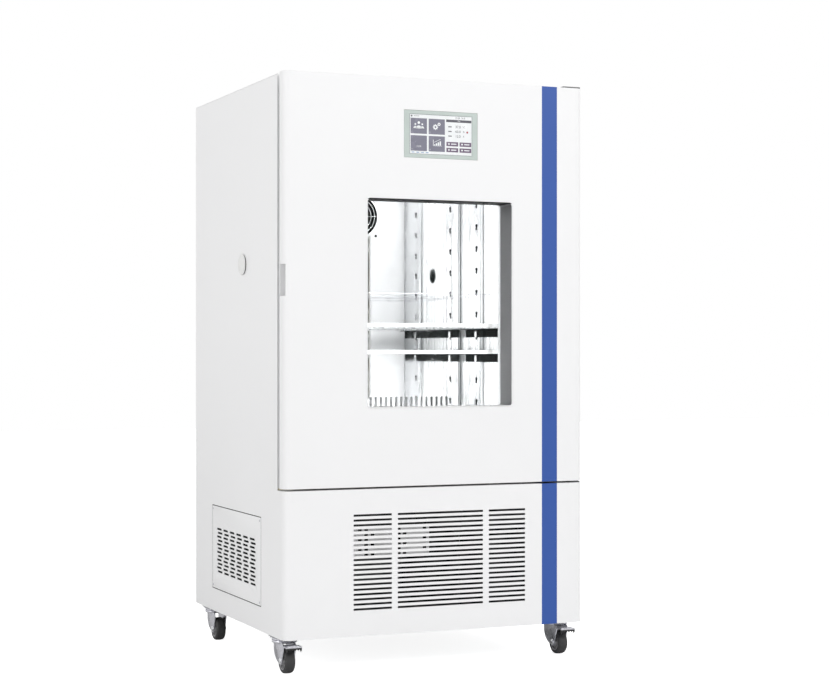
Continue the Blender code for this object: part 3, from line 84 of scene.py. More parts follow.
# %% Helpers for modelling by operators
EVERYTHING = {"location": True, "rotation": True, "scale": True}


def clear():
    """Leaves edit mode and selects nothing."""
    if bpy.context.object and bpy.context.object.mode != "OBJECT":
        bpy.ops.object.mode_set(mode="OBJECT")
    bpy.ops.object.select_all(action="DESELECT")


def only(*objs):
    """Selects these objects alone, the first one active."""
    clear()
    for obj in objs:
        obj.select_set(True)
    bpy.context.view_layer.objects.active = objs[0]
    return objs[0]


def settled(name):
    """Names the new active object and moves its place into its mesh."""
    obj = bpy.context.object
    obj.name = name
    obj.data.name = name
    only(obj)
    bpy.ops.object.transform_apply(**EVERYTHING)
    return obj


def discard(*objs):
    for obj in objs:
        bpy.data.objects.remove(obj, do_unlink=True)


def box_about(name, middle, size, turn=(0, 0, 0)):
    """A box about a point, turned round it."""
    clear()
    bpy.ops.mesh.primitive_cube_add(size=1, location=middle, rotation=turn, scale=size)
    return settled(name)


def block(name, low, high):
    """A box between two corners."""
    low, high = Vector(low), Vector(high)
    return box_about(name, (low + high) / 2, high - low)


TURN = {"x": (0, math.pi / 2, 0), "y": (math.pi / 2, 0, 0), "z": (0, 0, 0)}


def rod(name, centre, radius, length, axis, sides=32):
    """A cylinder centred on a point, along an axis."""
    clear()
    bpy.ops.mesh.primitive_cylinder_add(
        vertices=sides, radius=radius, depth=length, location=centre, rotation=TURN[axis]
    )
    return settled(name)


def ring(name, centre, radius, wire, axis):
    """A torus centred on a point, about an axis."""
    clear()
    bpy.ops.mesh.primitive_torus_add(
        location=centre, rotation=TURN[axis], major_radius=radius, minor_radius=wire,
        major_segments=96, minor_segments=12,
    )
    return settled(name)


def finished(obj):
    """Applies every modifier on the object, in order."""
    only(obj)
    for modifier in list(obj.modifiers):
        bpy.ops.object.modifier_apply(modifier=modifier.name)
    return obj


def bevelled(obj, width, segments=2, angle=40):
    """Rounds the sharp edges with a Bevel modifier, applied."""
    bevel = obj.modifiers.new("bevel", "BEVEL")
    bevel.width = width
    bevel.segments = segments
    bevel.limit_method = "ANGLE"
    bevel.angle_limit = math.radians(angle)
    return finished(obj)


def cut(obj, *tools):
    """Takes the tools' shapes out of the object with exact Booleans, applied."""
    return combined(obj, tools, "DIFFERENCE")


def fused(obj, *tools):
    """Adds the tools' shapes to the object with exact Booleans, applied."""
    return combined(obj, tools, "UNION")


def combined(obj, tools, operation):
    for tool in tools:
        boolean = obj.modifiers.new(operation.lower(), "BOOLEAN")
        boolean.operation = operation
        boolean.object = tool
        boolean.solver = "EXACT"
        finished(obj)
        discard(tool)
    return obj


def joined(name, objs):
    """Joins separate shells in one object, without merging them."""
    only(*objs)
    bpy.ops.object.join()
    return settled(name)


def moved_copy(obj, name, offset):
    """A copy with its own mesh, moved by an offset."""
    copy = obj.copy()
    copy.data = obj.data.copy()
    copy.name = name
    bpy.context.scene.collection.objects.link(copy)
    only(copy)
    bpy.ops.transform.translate(value=offset)
    bpy.ops.object.transform_apply(**EVERYTHING)
    return copy


def smooth(obj):
    """Smooth shading that keeps the sharp edges."""
    only(obj)
    bpy.ops.object.shade_smooth_by_angle(angle=math.radians(35))


# %% [markdown]
# ## Shared surface effects
# Powder coat has a very fine orange peel, moulded plastic a finer grain, rolled sheet long hair lines,
# and zinc plate a cloudy, faintly yellow flow. Each is a node group with named inputs, built once and
# placed in every material that needs it with its own values. The groups only make colours, roughness
# and heights; the shader stays in the material.

# %% Node groups for the effects


def new_group(name, inputs, outputs):
    """An empty shader group with its sockets, and its two end nodes."""
    group = bpy.data.node_groups.new(name, "ShaderNodeTree")
    for label, kind, value in inputs:
        socket = group.interface.new_socket(name=label, in_out="INPUT", socket_type=kind)
        socket.default_value = value
    for label, kind in outputs:
        group.interface.new_socket(name=label, in_out="OUTPUT", socket_type=kind)
    return group, group.nodes.new("NodeGroupInput"), group.nodes.new("NodeGroupOutput")


COLOUR, FLOAT = "NodeSocketColor", "NodeSocketFloat"


def noise_in(tree, scale, detail, stretch):
    """Noise on the object's own coordinates, stretched along the axes."""
    place = tree.nodes.new("ShaderNodeTexCoord")
    mapping = tree.nodes.new("ShaderNodeMapping")
    mapping.inputs["Scale"].default_value = stretch
    noise = tree.nodes.new("ShaderNodeTexNoise")
    noise.inputs["Scale"].default_value = scale
    noise.inputs["Detail"].default_value = detail
    tree.links.new(place.outputs["Object"], mapping.inputs["Vector"])
    tree.links.new(mapping.outputs["Vector"], noise.inputs["Vector"])
    return noise


def ranged(tree, source, low, high, start=0.3, end=0.7):
    """A map of a value to a range. Noise lies mostly between 0.3 and 0.7."""
    remap = tree.nodes.new("ShaderNodeMapRange")
    ends = {"From Min": start, "From Max": end, "To Min": low, "To Max": high}
    for label, value in ends.items():
        remap.inputs[label].default_value = value
    tree.links.new(source, remap.inputs["Value"])
    return remap.outputs["Result"]


def multiplied(tree, colour, factor):
    """A colour darkened or lightened by a varying factor."""
    mix = tree.nodes.new("ShaderNodeVectorMath")
    mix.operation = "SCALE"
    tree.links.new(colour, mix.inputs[0])
    tree.links.new(factor, mix.inputs["Scale"])
    return mix.outputs["Vector"]


def feed(tree, value, socket):
    """Feeds a socket from another one, or writes a plain number or colour in it."""
    if isinstance(value, bpy.types.NodeSocket):
        tree.links.new(value, socket)
    else:
        socket.default_value = value


def maths(tree, operation, first, second):
    """A sum, product or comparison of a socket with another one or a number."""
    step = tree.nodes.new("ShaderNodeMath")
    step.operation = operation
    feed(tree, first, step.inputs[0])
    feed(tree, second, step.inputs[1])
    return step.outputs["Value"]


def surface_group(name, fine_scale, fine_stretch, tone_scale, tone, gloss):
    """Fine height, slow tone change and roughness change, as one group."""
    inputs = (("Colour", COLOUR, (0.8, 0.8, 0.8, 1)), ("Roughness", FLOAT, 0.4))
    outputs = (("Colour", COLOUR), ("Roughness", FLOAT), ("Height", FLOAT))
    group, start, end = new_group(name, inputs, outputs)
    fine = noise_in(group, fine_scale, 2, fine_stretch)
    slow = noise_in(group, tone_scale, 3, fine_stretch)
    group.links.new(fine.outputs["Fac"], end.inputs["Height"])
    shade = ranged(group, slow.outputs["Fac"], 1 - tone, 1 + tone)
    group.links.new(multiplied(group, start.outputs["Colour"], shade), end.inputs["Colour"])
    change = ranged(group, slow.outputs["Fac"], -gloss, gloss)
    rough = maths(group, "ADD", start.outputs["Roughness"], change)
    group.links.new(rough, end.inputs["Roughness"])
    return group


EFFECTS = {
    "peel": surface_group("powder_coat_peel", 620, (1, 1, 1), 3, 0.006, 0.03),
    "mould": surface_group("moulded_grain", 2600, (1, 1, 1), 40, 0.03, 0.05),
    "hairline": surface_group("hair_lines", 900, (1, 1, 0.02), 60, 0.02, 0.03),
    "plate": surface_group("zinc_flow", 1500, (1, 1, 1), 90, 0.07, 0.06),
    "foam": surface_group("foam_cells", 900, (1, 1, 1), 30, 0.08, 0.02),
}
print("effects:", sorted(EFFECTS))

# %% [markdown]
# ## Materials
# One function makes a Principled material around an effect. Values that are the same all over go
# straight on the shader's sockets.

# %% Build the materials


def material(name, colour, roughness, effect, bump, depth, metallic=0.0, alpha=1.0):
    made = bpy.data.materials.new(name)
    made.use_nodes = True
    tree = made.node_tree
    shader = tree.nodes["Principled BSDF"]
    shader.inputs["Metallic"].default_value = metallic
    shader.inputs["Alpha"].default_value = alpha
    group = tree.nodes.new("ShaderNodeGroup")
    group.name = "effect"
    group.node_tree = EFFECTS[effect]
    group.inputs["Colour"].default_value = (*colour, 1)
    group.inputs["Roughness"].default_value = roughness
    tree.links.new(group.outputs["Colour"], shader.inputs["Base Color"])
    tree.links.new(group.outputs["Roughness"], shader.inputs["Roughness"])
    height = tree.nodes.new("ShaderNodeBump")
    height.inputs["Strength"].default_value = bump
    height.inputs["Distance"].default_value = depth
    tree.links.new(group.outputs["Height"], height.inputs["Height"])
    tree.links.new(height.outputs["Normal"], shader.inputs["Normal"])
    return made


WHITE = (0.91, 0.91, 0.915)
LINING_GREY = (0.18, 0.18, 0.185)
powder = material("white_powder_coat", WHITE, 0.38, "peel", 0.12, 0.0002)
striped = material("striped_powder_coat", WHITE, 0.38, "peel", 0.12, 0.0002)
grey = material("grey_enamel", (0.30, 0.31, 0.32), 0.42, "peel", 0.15, 0.0002)
dark_grey = material("dark_lining", LINING_GREY, 0.60, "peel", 0.15, 0.0002)
mirror = material("mirror_stainless", (0.965, 0.97, 0.972), 0.04, "mould", 0.0, 0.00001, 1.0)
polished = material("polished_stainless", (0.94, 0.95, 0.955), 0.28, "hairline", 0.02, 0.00005, 0.45)
brushed = material("brushed_stainless", (0.80, 0.81, 0.82), 0.24, "hairline", 0.08, 0.0001, 1.0)
chrome = material("bright_wire", (0.86, 0.87, 0.88), 0.12, "plate", 0.02, 0.00005, 1.0)
zinc = material("zinc_plate", (0.62, 0.62, 0.66), 0.30, "plate", 0.10, 0.0001, 1.0)
aluminium = material("mill_aluminium", (0.72, 0.73, 0.74), 0.38, "hairline", 0.10, 0.0001, 1.0)
foam = material("insulation_foam", (0.84, 0.78, 0.58), 0.90, "foam", 0.6, 0.0008)
seal = material("soft_seal", (0.36, 0.37, 0.38), 0.62, "mould", 0.15, 0.0001)
black = material("black_moulding", (0.018, 0.018, 0.019), 0.46, "mould", 0.2, 0.0001)
white_moulding = material("white_moulding", (0.86, 0.86, 0.85), 0.42, "mould", 0.15, 0.0001)
bezel_moulding = material("pale_grey_moulding", (0.53, 0.60, 0.57), 0.40, "mould", 0.12, 0.0001)
tread = material("hard_rubber", (0.035, 0.035, 0.036), 0.62, "mould", 0.4, 0.0002)
hub_grey = material("grey_hub_moulding", (0.33, 0.33, 0.34), 0.45, "mould", 0.2, 0.0001)
matt_black = material("matt_black", (0.006, 0.006, 0.0065), 0.72, "mould", 0.1, 0.0001)
DULL = 0.08
for made in (matt_black, dark_grey):
    made.node_tree.nodes["Principled BSDF"].inputs["Specular IOR Level"].default_value = DULL
coated = material("coated_fins", (0.02, 0.021, 0.022), 0.60, "hairline", 0.10, 0.0001)
anthracite = material("anthracite_enamel", (0.12, 0.12, 0.125), 0.45, "peel", 0.15, 0.0002)
enamel = material("black_enamel", (0.012, 0.012, 0.013), 0.35, "peel", 0.15, 0.0002)
display_glass = material("display_panel", (0.30, 0.31, 0.37), 0.12, "mould", 0.01, 0.00001)
glass = material("float_glass", (0.02, 0.035, 0.032), 0.02, "mould", 0.0, 0.00001, 0.0, 0.06)
print("materials:", len(bpy.data.materials))

# %% [markdown]
# The door and the panel under it carry one blue stripe, painted from top to bottom. Its two edges are
# comparisons on the object's x coordinate, so the stripe follows the rounded bevels and lines up on
# both panels by itself. The window's lining is coloured in the same way: its front lip and its sill
# are light, and its head is painted near black as painted shade under the head.

# %% Paint the stripe and the lining
STRIPE_LEFT = at(0.633, 0, 0).x
STRIPE_RIGHT = at(0.6725, 0, 0).x
STRIPE_BLUE = (0.022, 0.086, 0.370)
# HEAD_SHADE_BLACK is painted shade for the underside of the lining's head
SILL_GREY, HEAD_SHADE_BLACK = (0.60, 0.60, 0.60), (0.015, 0.015, 0.015)
SILL, LIP = 0.0028, 0.0014


def object_axes(tree):
    """The object's own coordinates, as three sockets."""
    place = tree.nodes.new("ShaderNodeTexCoord")
    split = tree.nodes.new("ShaderNodeSeparateXYZ")
    tree.links.new(place.outputs["Object"], split.inputs["Vector"])
    return split.outputs


def mixed(tree, factor, ground, over):
    """A colour over a ground, which is a colour too or an earlier mix."""
    mix = tree.nodes.new("ShaderNodeMix")
    mix.data_type = "RGBA"
    feed(tree, factor, mix.inputs["Factor"])
    feed(tree, ground, mix.inputs["A"])
    feed(tree, (*over, 1), mix.inputs["B"])
    return mix.outputs["Result"]


def add_stripe(made):
    tree = made.node_tree
    across = object_axes(tree)["X"]
    left = maths(tree, "GREATER_THAN", across, STRIPE_LEFT)
    right = maths(tree, "LESS_THAN", across, STRIPE_RIGHT)
    inside = maths(tree, "MULTIPLY", left, right)
    paint = mixed(tree, inside, (*WHITE, 1), STRIPE_BLUE)
    tree.links.new(paint, tree.nodes["effect"].inputs["Colour"])


def layered(made, ground, rules):
    """Gives a material other colours past limits on the object's own axes. Later rules win."""
    tree = made.node_tree
    axes = object_axes(tree)
    paint = (*ground, 1)
    for axis, operation, limit, colour in rules:
        paint = mixed(tree, maths(tree, operation, axes[axis], limit), paint, colour)
    tree.links.new(paint, tree.nodes["effect"].inputs["Colour"])


add_stripe(striped)
lining_low, lining_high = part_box("window_lining")
layered(dark_grey, LINING_GREY, (
    ("Z", "LESS_THAN", lining_low.z + SILL, SILL_GREY),
    ("Y", "LESS_THAN", lining_low.y + LIP, WHITE),
    # painted shade: the lining's head is painted near black
    ("Z", "GREATER_THAN", lining_high.z - SILL, HEAD_SHADE_BLACK),
))
print("stripe from", round(STRIPE_LEFT, 4), "to", round(STRIPE_RIGHT, 4))

# %% [markdown]
# ## Finishes for the solids
# Every solid of the frame that stays visible gets a finish: its real one, except the shelf runners,
# whose matt black is painted shade. The solids are loose triangles, so a Weld modifier first joins
# their corners, and a small Bevel then catches light along each edge, as folded sheet and mouldings do.

# %% Dress the solids
FINISHES = {
    powder: (
        "left_side_panel right_side_panel left_service_panel right_service_panel top_panel "
        "rear_panel handle_cup"
    ),
    striped: "door_shell lower_front_panel",
    grey: "base_frame deck condenser_shroud",
    dark_grey: "window_lining",
    mirror: "duct_panel",
    polished: "chamber_liner upper_shelf lower_shelf door_inner_panel",
    brushed: "left_front_upright left_rear_upright right_front_upright right_rear_upright",
    chrome: "fan_guard",
    zinc: (
        "front_left_fork front_right_fork rear_left_fork rear_right_fork front_left_pedal "
        "front_right_pedal"
    ),
    aluminium: "condenser window_spacer",
    coated: "evaporator",
    foam: "foam_insulation door_foam",
    seal: "door_gasket",
    black: "condenser_fan mains_inlet humidifier_tank control_box",
    white_moulding: "left_port_bushing right_port_bushing left_port_plug right_port_plug",
    bezel_moulding: "display_bezel",
    display_glass: "display_screen",
    glass: "window_outer_pane window_inner_pane",
    tread: "front_left_wheel front_right_wheel rear_left_wheel rear_right_wheel",
    # the shelf runners take matt black as painted shade, for the dark bands under the shelves
    matt_black: (
        "fan_frame circulation_fan left_upper_runner right_upper_runner left_lower_runner "
        "right_lower_runner"
    ),
    enamel: "compressor",
    anthracite: "top_hinge bottom_hinge",
}
EDGE = {"door_shell": 0.0008, "lower_front_panel": 0.0004, "display_bezel": 0.0010}
SHEET_EDGE = 0.0003
UNBEVELLED = ("foam_insulation", "door_foam", "evaporator", "condenser")


def dress(node, made):
    obj = nodes[node]
    obj.data.materials.clear()
    obj.data.materials.append(made)
    obj.modifiers.new("weld", "WELD").merge_threshold = 0.00001
    if node in UNBEVELLED:
        return
    bevel = obj.modifiers.new("edge", "BEVEL")
    bevel.width = EDGE.get(node, SHEET_EDGE)
    bevel.segments = 2
    bevel.limit_method = "ANGLE"
    bevel.angle_limit = math.radians(50)
    bevel.harden_normals = True


for made, names in FINISHES.items():
    for node in names.split():
        dress(node, made)
undressed = set(nodes) - {n for names in FINISHES.values() for n in names.split()}
print("dressed", len(nodes) - len(undressed), "solids, left plain:", sorted(undressed))

# %% [markdown]
# ## Shapes by outline and by spin
# Pressed and turned pieces are quickest from one profile. A filled circle whose corners are moved to
# the outline and extruded gives a plate of any shape. A bare circle moved to half a cross-section and
# spun gives wheels, caps and bushings. Doubles are merged and the normals made to point outwards.

# %% Plates and turned pieces


def in_edit(obj):
    only(obj)
    bpy.ops.object.mode_set(mode="EDIT")
    bpy.ops.mesh.select_all(action="SELECT")


def plate(name, outline, axis, start, end):
    """A flat outline in the two other axes, extruded from start to end along an axis."""
    clear()
    bpy.ops.mesh.primitive_circle_add(vertices=len(outline), fill_type="NGON")
    obj = bpy.context.object
    along = "xyz".index(axis)
    first, second = [i for i in range(3) if i != along]
    for vertex, (a, b) in zip(obj.data.vertices, outline):
        vertex.co[along], vertex.co[first], vertex.co[second] = start, a, b
    step = Vector((0, 0, 0))
    step[along] = end - start
    in_edit(obj)
    bpy.ops.mesh.extrude_region_move(TRANSFORM_OT_translate={"value": step})
    bpy.ops.mesh.select_all(action="SELECT")
    bpy.ops.mesh.normals_make_consistent(inside=False)
    return settled(name)


def turned(name, profile, axis, centre, steps):
    """A closed profile of (along the axis, radius), spun round an axis through centre."""
    clear()
    bpy.ops.mesh.primitive_circle_add(vertices=len(profile), fill_type="NOTHING")
    obj = bpy.context.object
    along = "xyz".index(axis)
    for vertex, (distance, radius) in zip(obj.data.vertices, profile):
        place = Vector(centre)
        place[along] += distance
        place[(along + 1) % 3] += radius
        vertex.co = place
    line = [0, 0, 0]
    line[along] = 1
    in_edit(obj)
    bpy.ops.mesh.spin(steps=steps, angle=2 * math.pi, center=centre, axis=line)
    bpy.ops.mesh.select_all(action="SELECT")
    bpy.ops.mesh.remove_doubles(threshold=0.000002)
    bpy.ops.mesh.delete_loose()
    bpy.ops.mesh.select_all(action="SELECT")
    bpy.ops.mesh.normals_make_consistent(inside=False)
    return settled(name)


def arc(centre, radius, start, end, steps):
    """Points on an arc between two angles in degrees."""
    turns = [math.radians(start + (end - start) * i / steps) for i in range(steps + 1)]
    return [(centre[0] + radius * math.cos(t), centre[1] + radius * math.sin(t)) for t in turns]


def rounded(low, high, radius):
    """A rectangle with rounded corners, anticlockwise."""
    (left, bottom), (right, top) = low, high
    corners = (
        ((right - radius, bottom + radius), -90),
        ((right - radius, top - radius), 0),
        ((left + radius, top - radius), 90),
        ((left + radius, bottom + radius), 180),
    )
    return [p for centre, turn in corners for p in arc(centre, radius, turn, turn + 90, 6)]


def array(obj, count, step):
    """Repeats the object along a step with an Array modifier, applied."""
    copies = obj.modifiers.new("array", "ARRAY")
    copies.use_relative_offset = False
    copies.use_constant_offset = True
    copies.constant_offset_displace = step
    copies.count = count
    return finished(obj)


def painted(obj, made, slot, body, *stands_for):
    """Gives a finished piece its material and body, and the solids that it stands for."""
    obj.data.materials.clear()
    obj.data.materials.append(made)
    smooth(obj)
    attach(obj, body)
    if stands_for:
        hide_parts(*stands_for)
    return obj


# %% [markdown]
# ## Casters
# Each caster hangs from a zinc plate with four bolts. Under it a ball race carries a pressed fork,
# whose cheeks have a raised rim, and a bolt through the cheeks carries the wheel. The wheel is a
# moulded grey hub in a crowned rubber tyre. The pieces are modelled once, at the front left swivel,
# and copied to the other three. Heights are measured down from the cabinet's underside.

# %% Places on a caster
SWIVELS = {
    "front_left": at(0.030, 0.0805, 0),
    "rear_left": at(0.030, 0.595, 0),
    "front_right": at(0.710, 0.0805, 0),
    "rear_right": at(0.710, 0.595, 0),
}
SWIVEL = SWIVELS["front_left"]
TRAIL = 0.0155
AXLE = SWIVEL + Vector((0, -TRAIL, -0.054))
CHEEK_INSIDE = 0.013
CHEEK_OUTSIDE = 0.0155


def swivel_point(x, y, z):
    return SWIVEL + Vector((x, y, z))


def on_side(points):
    """Moves (y, z) points of a cheek to their place on the front left caster."""
    return [(SWIVEL.y + y, SWIVEL.z + z) for y, z in points]


print("swivel", [round(v, 4) for v in SWIVEL], "axle", [round(v, 4) for v in AXLE])

# %% [markdown]
# A cheek is one outline: a straight top, a slanted front, a round end about the axle and a full
# heel. Its middle is inset and pushed in a little, which leaves the pressed rim. Both cheeks and the
# crown that joins them are fused and their edges rounded together. The race is turned by itself.

# %% Fork
CHEEK_OUTLINE = (
    [(0.0270, -0.0078), (-0.022, -0.0078), (-0.0325, -0.0155), (-0.034, -0.0175), (-0.034, -0.0240)]
    + arc((-TRAIL, -0.054), 0.009, 180, 300, 10)
    + [(0.002, -0.0584), (0.014, -0.0526), (0.0203, -0.0470), (0.0245, -0.0412)]
    + [(0.0272, -0.0360), (0.0284, -0.0310), (0.0284, -0.0100)]
)


def pressed(obj, side, rim, depth):
    """Insets the outer face of a cheek and pushes it in."""
    in_edit(obj)
    bpy.ops.mesh.select_all(action="DESELECT")
    mesh = bmesh.from_edit_mesh(obj.data)
    for face in mesh.faces:
        face.select = face.normal.x * side > 0.9
    bmesh.update_edit_mesh(obj.data)
    bpy.ops.mesh.inset(thickness=rim, depth=0)
    bpy.ops.mesh.inset(thickness=depth, depth=-depth)
    return only(obj)


def fork():
    cheeks = []
    for side in (-1, 1):
        inner, outer = SWIVEL.x + side * CHEEK_INSIDE, SWIVEL.x + side * CHEEK_OUTSIDE
        cheek = plate("cheek", on_side(CHEEK_OUTLINE), "x", inner, outer)
        cheeks.append(pressed(cheek, side, 0.0022, 0.0006))
    crown = block(
        "crown",
        swivel_point(-CHEEK_INSIDE - 0.0005, -0.026, -0.0112),
        swivel_point(CHEEK_INSIDE + 0.0005, 0.020, -0.0086),
    )
    race = turned(
        "race",
        [
            (-0.0033, 0.0054), (-0.0033, 0.0262), (-0.0042, 0.0280), (-0.0058, 0.0286),
            (-0.0074, 0.0280), (-0.0082, 0.0264), (-0.0090, 0.0280), (-0.0108, 0.0289),
            (-0.0130, 0.0282), (-0.0148, 0.0258), (-0.0148, 0.0212), (-0.0098, 0.0200),
            (-0.0098, 0.0054),
        ],
        "z",
        SWIVEL,
        64,
    )
    made = fused(cheeks[0], cheeks[1], crown)
    made.name = "fork"
    bevelled(made, 0.0005, 2, 35)
    return joined("fork", [made, race])


first_fork = fork()
print("fork:", len(first_fork.data.polygons), "faces")

# %% [markdown]
# The axle is a hexagon bolt with a washer and a lock nut. Six sides, a chamfer and a little of the
# thread are enough at this size. The top plate has rounded corners and four bolt heads below it.

# %% Axle bolt and top plate
HEX = 6


def axle_bolt():
    x, y, z = AXLE
    face = CHEEK_OUTSIDE
    parts = []
    for side in (-1, 1):
        washer = rod("washer", (x + side * (face + 0.0004), y, z), 0.0070, 0.0008, "x", 40)
        head = rod("head", (x + side * (face + 0.0018), y, z), 0.0058, 0.0022, "x", HEX)
        parts += [bevelled(washer, 0.0002), bevelled(head, 0.0005, 2)]
    end = rod("end", (x + CHEEK_OUTSIDE + 0.0030, y, z), 0.0034, 0.0018, "x", 24)
    shank = rod("shank", (x, y, z), 0.0039, 2 * face, "x", 24)
    return joined("axle_bolt", parts + [bevelled(end, 0.0004), shank])


def top_plate():
    sides = [SWIVEL.x - 0.0281, SWIVEL.x + 0.0291, SWIVEL.y - 0.0291, SWIVEL.y + 0.0291]
    outline = rounded((sides[0], sides[2]), (sides[1], sides[3]), 0.0015)
    base = plate("top_plate", outline, "z", SWIVEL.z - 0.0031, SWIVEL.z - 0.0001)
    bevelled(base, 0.0003, 2)
    heads = []
    for dx in (-0.0225, 0.0235):
        for dy in (-0.0235, 0.0235):
            head = rod("head", swivel_point(dx, dy, -0.0048), 0.0038, 0.0032, "z", HEX)
            heads.append(bevelled(head, 0.0004, 2))
    return joined("top_plate", [base] + heads)


first_bolt = axle_bolt()
first_plate = top_plate()

# %% [markdown]
# The tyre's tread is crowned and its shoulders are round, with a shallow groove where it meets the hub.
# The hub is turned with a rim, a web and a boss, and eight ribs stand on each side of the web.

# %% Tyre and hub
WHEEL_RADIUS = 0.028
WHEEL_HALF = 0.012
HUB_HALF = 0.0127
HUB_RIM = 0.0196
RIBS = 8
RIB = (0.0190, 0.0085, 0.0014)


def tyre():
    half = WHEEL_HALF
    right = [
        (half - 0.0006, HUB_RIM), (half, 0.0206), (half, 0.0222), (half - 0.0004, 0.0242),
        (half - 0.0015, 0.0259), (half - 0.0034, 0.0271), (half - 0.0062, 0.0277),
    ]
    left = [(-along, radius) for along, radius in reversed(right)]
    return turned("tyre", right + [(0, WHEEL_RADIUS)] + left, "x", AXLE, 96)


def hub():
    half = HUB_HALF
    right = [
        (half, 0.0046), (half, 0.0085), (half - 0.0008, 0.0095), (0.0035, 0.0102),
        (0.0035, 0.0168), (0.0108, 0.0176), (0.0112, 0.0182), (0.0112, HUB_RIM + 0.0001),
    ]
    left = [(-along, radius) for along, radius in reversed(right)]
    wheel = turned("hub", right + left, "x", AXLE, 64)
    ribs = []
    for i in range(RIBS):
        turn = 2 * math.pi * i / RIBS
        middle = AXLE + Vector((0, math.cos(turn), math.sin(turn))) * 0.0135
        ribs.append(bevelled(box_about("rib", middle, RIB, (turn, 0, 0)), 0.0003))
    return joined("hub", [wheel] + ribs)


first_tyre = tyre()
first_hub = hub()
print("tyre:", len(first_tyre.data.polygons), "faces, hub:", len(first_hub.data.polygons))

# %% [markdown]
# The two front casters have a brake. Its foot plate is a folded zinc sheet that widens towards the
# toe, with its edge turned down and three grip ribs. A black shoe with a toothed edge hangs under it
# and presses on the tyre when the plate is trodden down. Both turn about a pin between the cheeks.

# %% Brake pedal and shoe
PIN = swivel_point(0, -0.030, -0.0205)
PEDAL_TOP = -0.0163
PEDAL_TOE = -0.066


def brake_plate():
    neck, toe = CHEEK_INSIDE - 0.0006, 0.019
    corner = 0.003
    outline = [(-neck, -0.0290), (-neck, -0.0362), (-toe, -0.0435), (-toe, PEDAL_TOE + corner)]
    outline += arc((-toe + corner, PEDAL_TOE + corner), corner, 190, 270, 6)
    outline += arc((toe - corner, PEDAL_TOE + corner), corner, 270, 350, 6)
    outline += [(toe, PEDAL_TOE + corner), (toe, -0.0435), (neck, -0.0362), (neck, -0.0290)]
    outline = [(SWIVEL.x + x, SWIVEL.y + y) for x, y in outline]
    top, low = SWIVEL.z + PEDAL_TOP, SWIVEL.z + PEDAL_TOP - 0.0030
    sheet = plate("brake_plate", outline, "z", low, top)
    hollow = block(
        "hollow",
        swivel_point(-toe + 0.0016, PEDAL_TOE + 0.0016, PEDAL_TOP - 0.006),
        swivel_point(toe - 0.0016, -0.0450, PEDAL_TOP - 0.0014),
    )
    sheet = bevelled(cut(sheet, hollow), 0.0005, 3, 35)
    ribs = []
    for i in range(4):
        y = PEDAL_TOE + 0.0040 + i * 0.0036
        rib = block("rib", swivel_point(-0.013, y, PEDAL_TOP - 0.0004),
                    swivel_point(0.013, y + 0.0012, PEDAL_TOP + 0.0005))
        ribs.append(bevelled(rib, 0.0003))
    barrel = turned(
        "barrel",
        [(-neck, 0.0024), (-neck, 0.0042), (neck, 0.0042), (neck, 0.0024)],
        "x",
        PIN,
        32,
    )
    return joined("brake_plate", [sheet, barrel] + ribs)


def brake_shoe():
    half = 0.0186
    shape = [(-half, PEDAL_TOP - 0.0031), (-half, -0.0240), (-half + 0.0022, -0.0290)]
    for tooth in range(4):
        left = -0.0136 + tooth * 0.0068
        shape += [(left, -0.0222), (left + 0.0034, -0.0256)]
    shape += [(0.0136, -0.0222), (half - 0.0022, -0.0290), (half, -0.0240)]
    shape += [(half, PEDAL_TOP - 0.0031)]
    outline = [(SWIVEL.x + x, SWIVEL.z + z) for x, z in shape]
    toothed = plate("shoe", outline, "y", SWIVEL.y + PEDAL_TOE + 0.0018, SWIVEL.y + PEDAL_TOE + 0.0048)
    arm = block(
        "arm",
        swivel_point(-0.0115, PEDAL_TOE + 0.0040, PEDAL_TOP - 0.0058),
        swivel_point(0.0115, -0.0335, PEDAL_TOP - 0.0031),
    )
    return joined("brake_shoe", [bevelled(toothed, 0.0004), bevelled(arm, 0.0004)])


first_pedal = brake_plate()
first_shoe = brake_shoe()

# %% Copy the casters and hang them on their bodies
# on the right the top plates sit 1 mm nearer to the cabinet's middle
RIGHT_PLATES = Vector((-0.001, 0, 0))
for corner, swivel in SWIVELS.items():
    shift = swivel - SWIVEL
    plate_shift = shift + RIGHT_PLATES if corner.endswith("right") else shift
    fork_body, wheel_body, pedal_body = f"{corner}_fork", f"{corner}_wheel", f"{corner}_pedal"
    pieces = [
        (first_fork, "pressed_fork", shift, zinc, "zinc", fork_body, fork_body),
        (first_bolt, "axle_bolt", shift, chrome, "zinc", fork_body),
        (first_tyre, "tyre", shift, tread, "tyre", wheel_body, wheel_body),
        (first_hub, "hub", shift, hub_grey, "tyre", wheel_body),
        (first_plate, "top_plate", plate_shift, zinc, "zinc", "cabinet"),
    ]
    if corner.startswith("front"):
        pieces += [
            (first_pedal, "brake_plate", shift, zinc, "zinc", pedal_body, pedal_body),
            (first_shoe, "brake_shoe", shift, black, "black_plastic", pedal_body),
        ]
    for first, part, offset, *look in pieces:
        painted(moved_copy(first, f"{corner}_{part}", offset), *look)
discard(first_fork, first_bolt, first_tyre, first_hub, first_plate, first_pedal, first_shoe)
print("casters:", len(SWIVELS))

# %% [markdown]
# ## Vented service panel
# The left side has a removable panel with twelve staggered rows of oblong vents. A punch for every
# other row is made once and repeated by two Array modifiers, and two such punches are taken out of
# the sheet by Booleans. Four small screws hold the panel at its corners, and the right side's closed
# panel has the same four. A black frame fills the gap round the panel, and black pads sit behind its
# vents and behind the slots in the back: all three are painted shade, which makes the gap and the
# openings show dark.

# %% Vents and screws
PANEL_LOW = at(0, 0.158, 0.057)
PANEL_HIGH = at(0, 0.531, 0.257)
PANEL_SIDES = ((PANEL_LOW.y, PANEL_LOW.z), (PANEL_HIGH.y, PANEL_HIGH.z))
SHEET = 0.0015
VENT_LENGTH, VENT_HEIGHT = 0.038, 0.005
VENT_STEP_Y, VENT_STEP_Z = 0.0510, 0.00935
VENT_STAGGER = 0.007
VENT_ROWS, VENT_COLUMNS = 12, 6


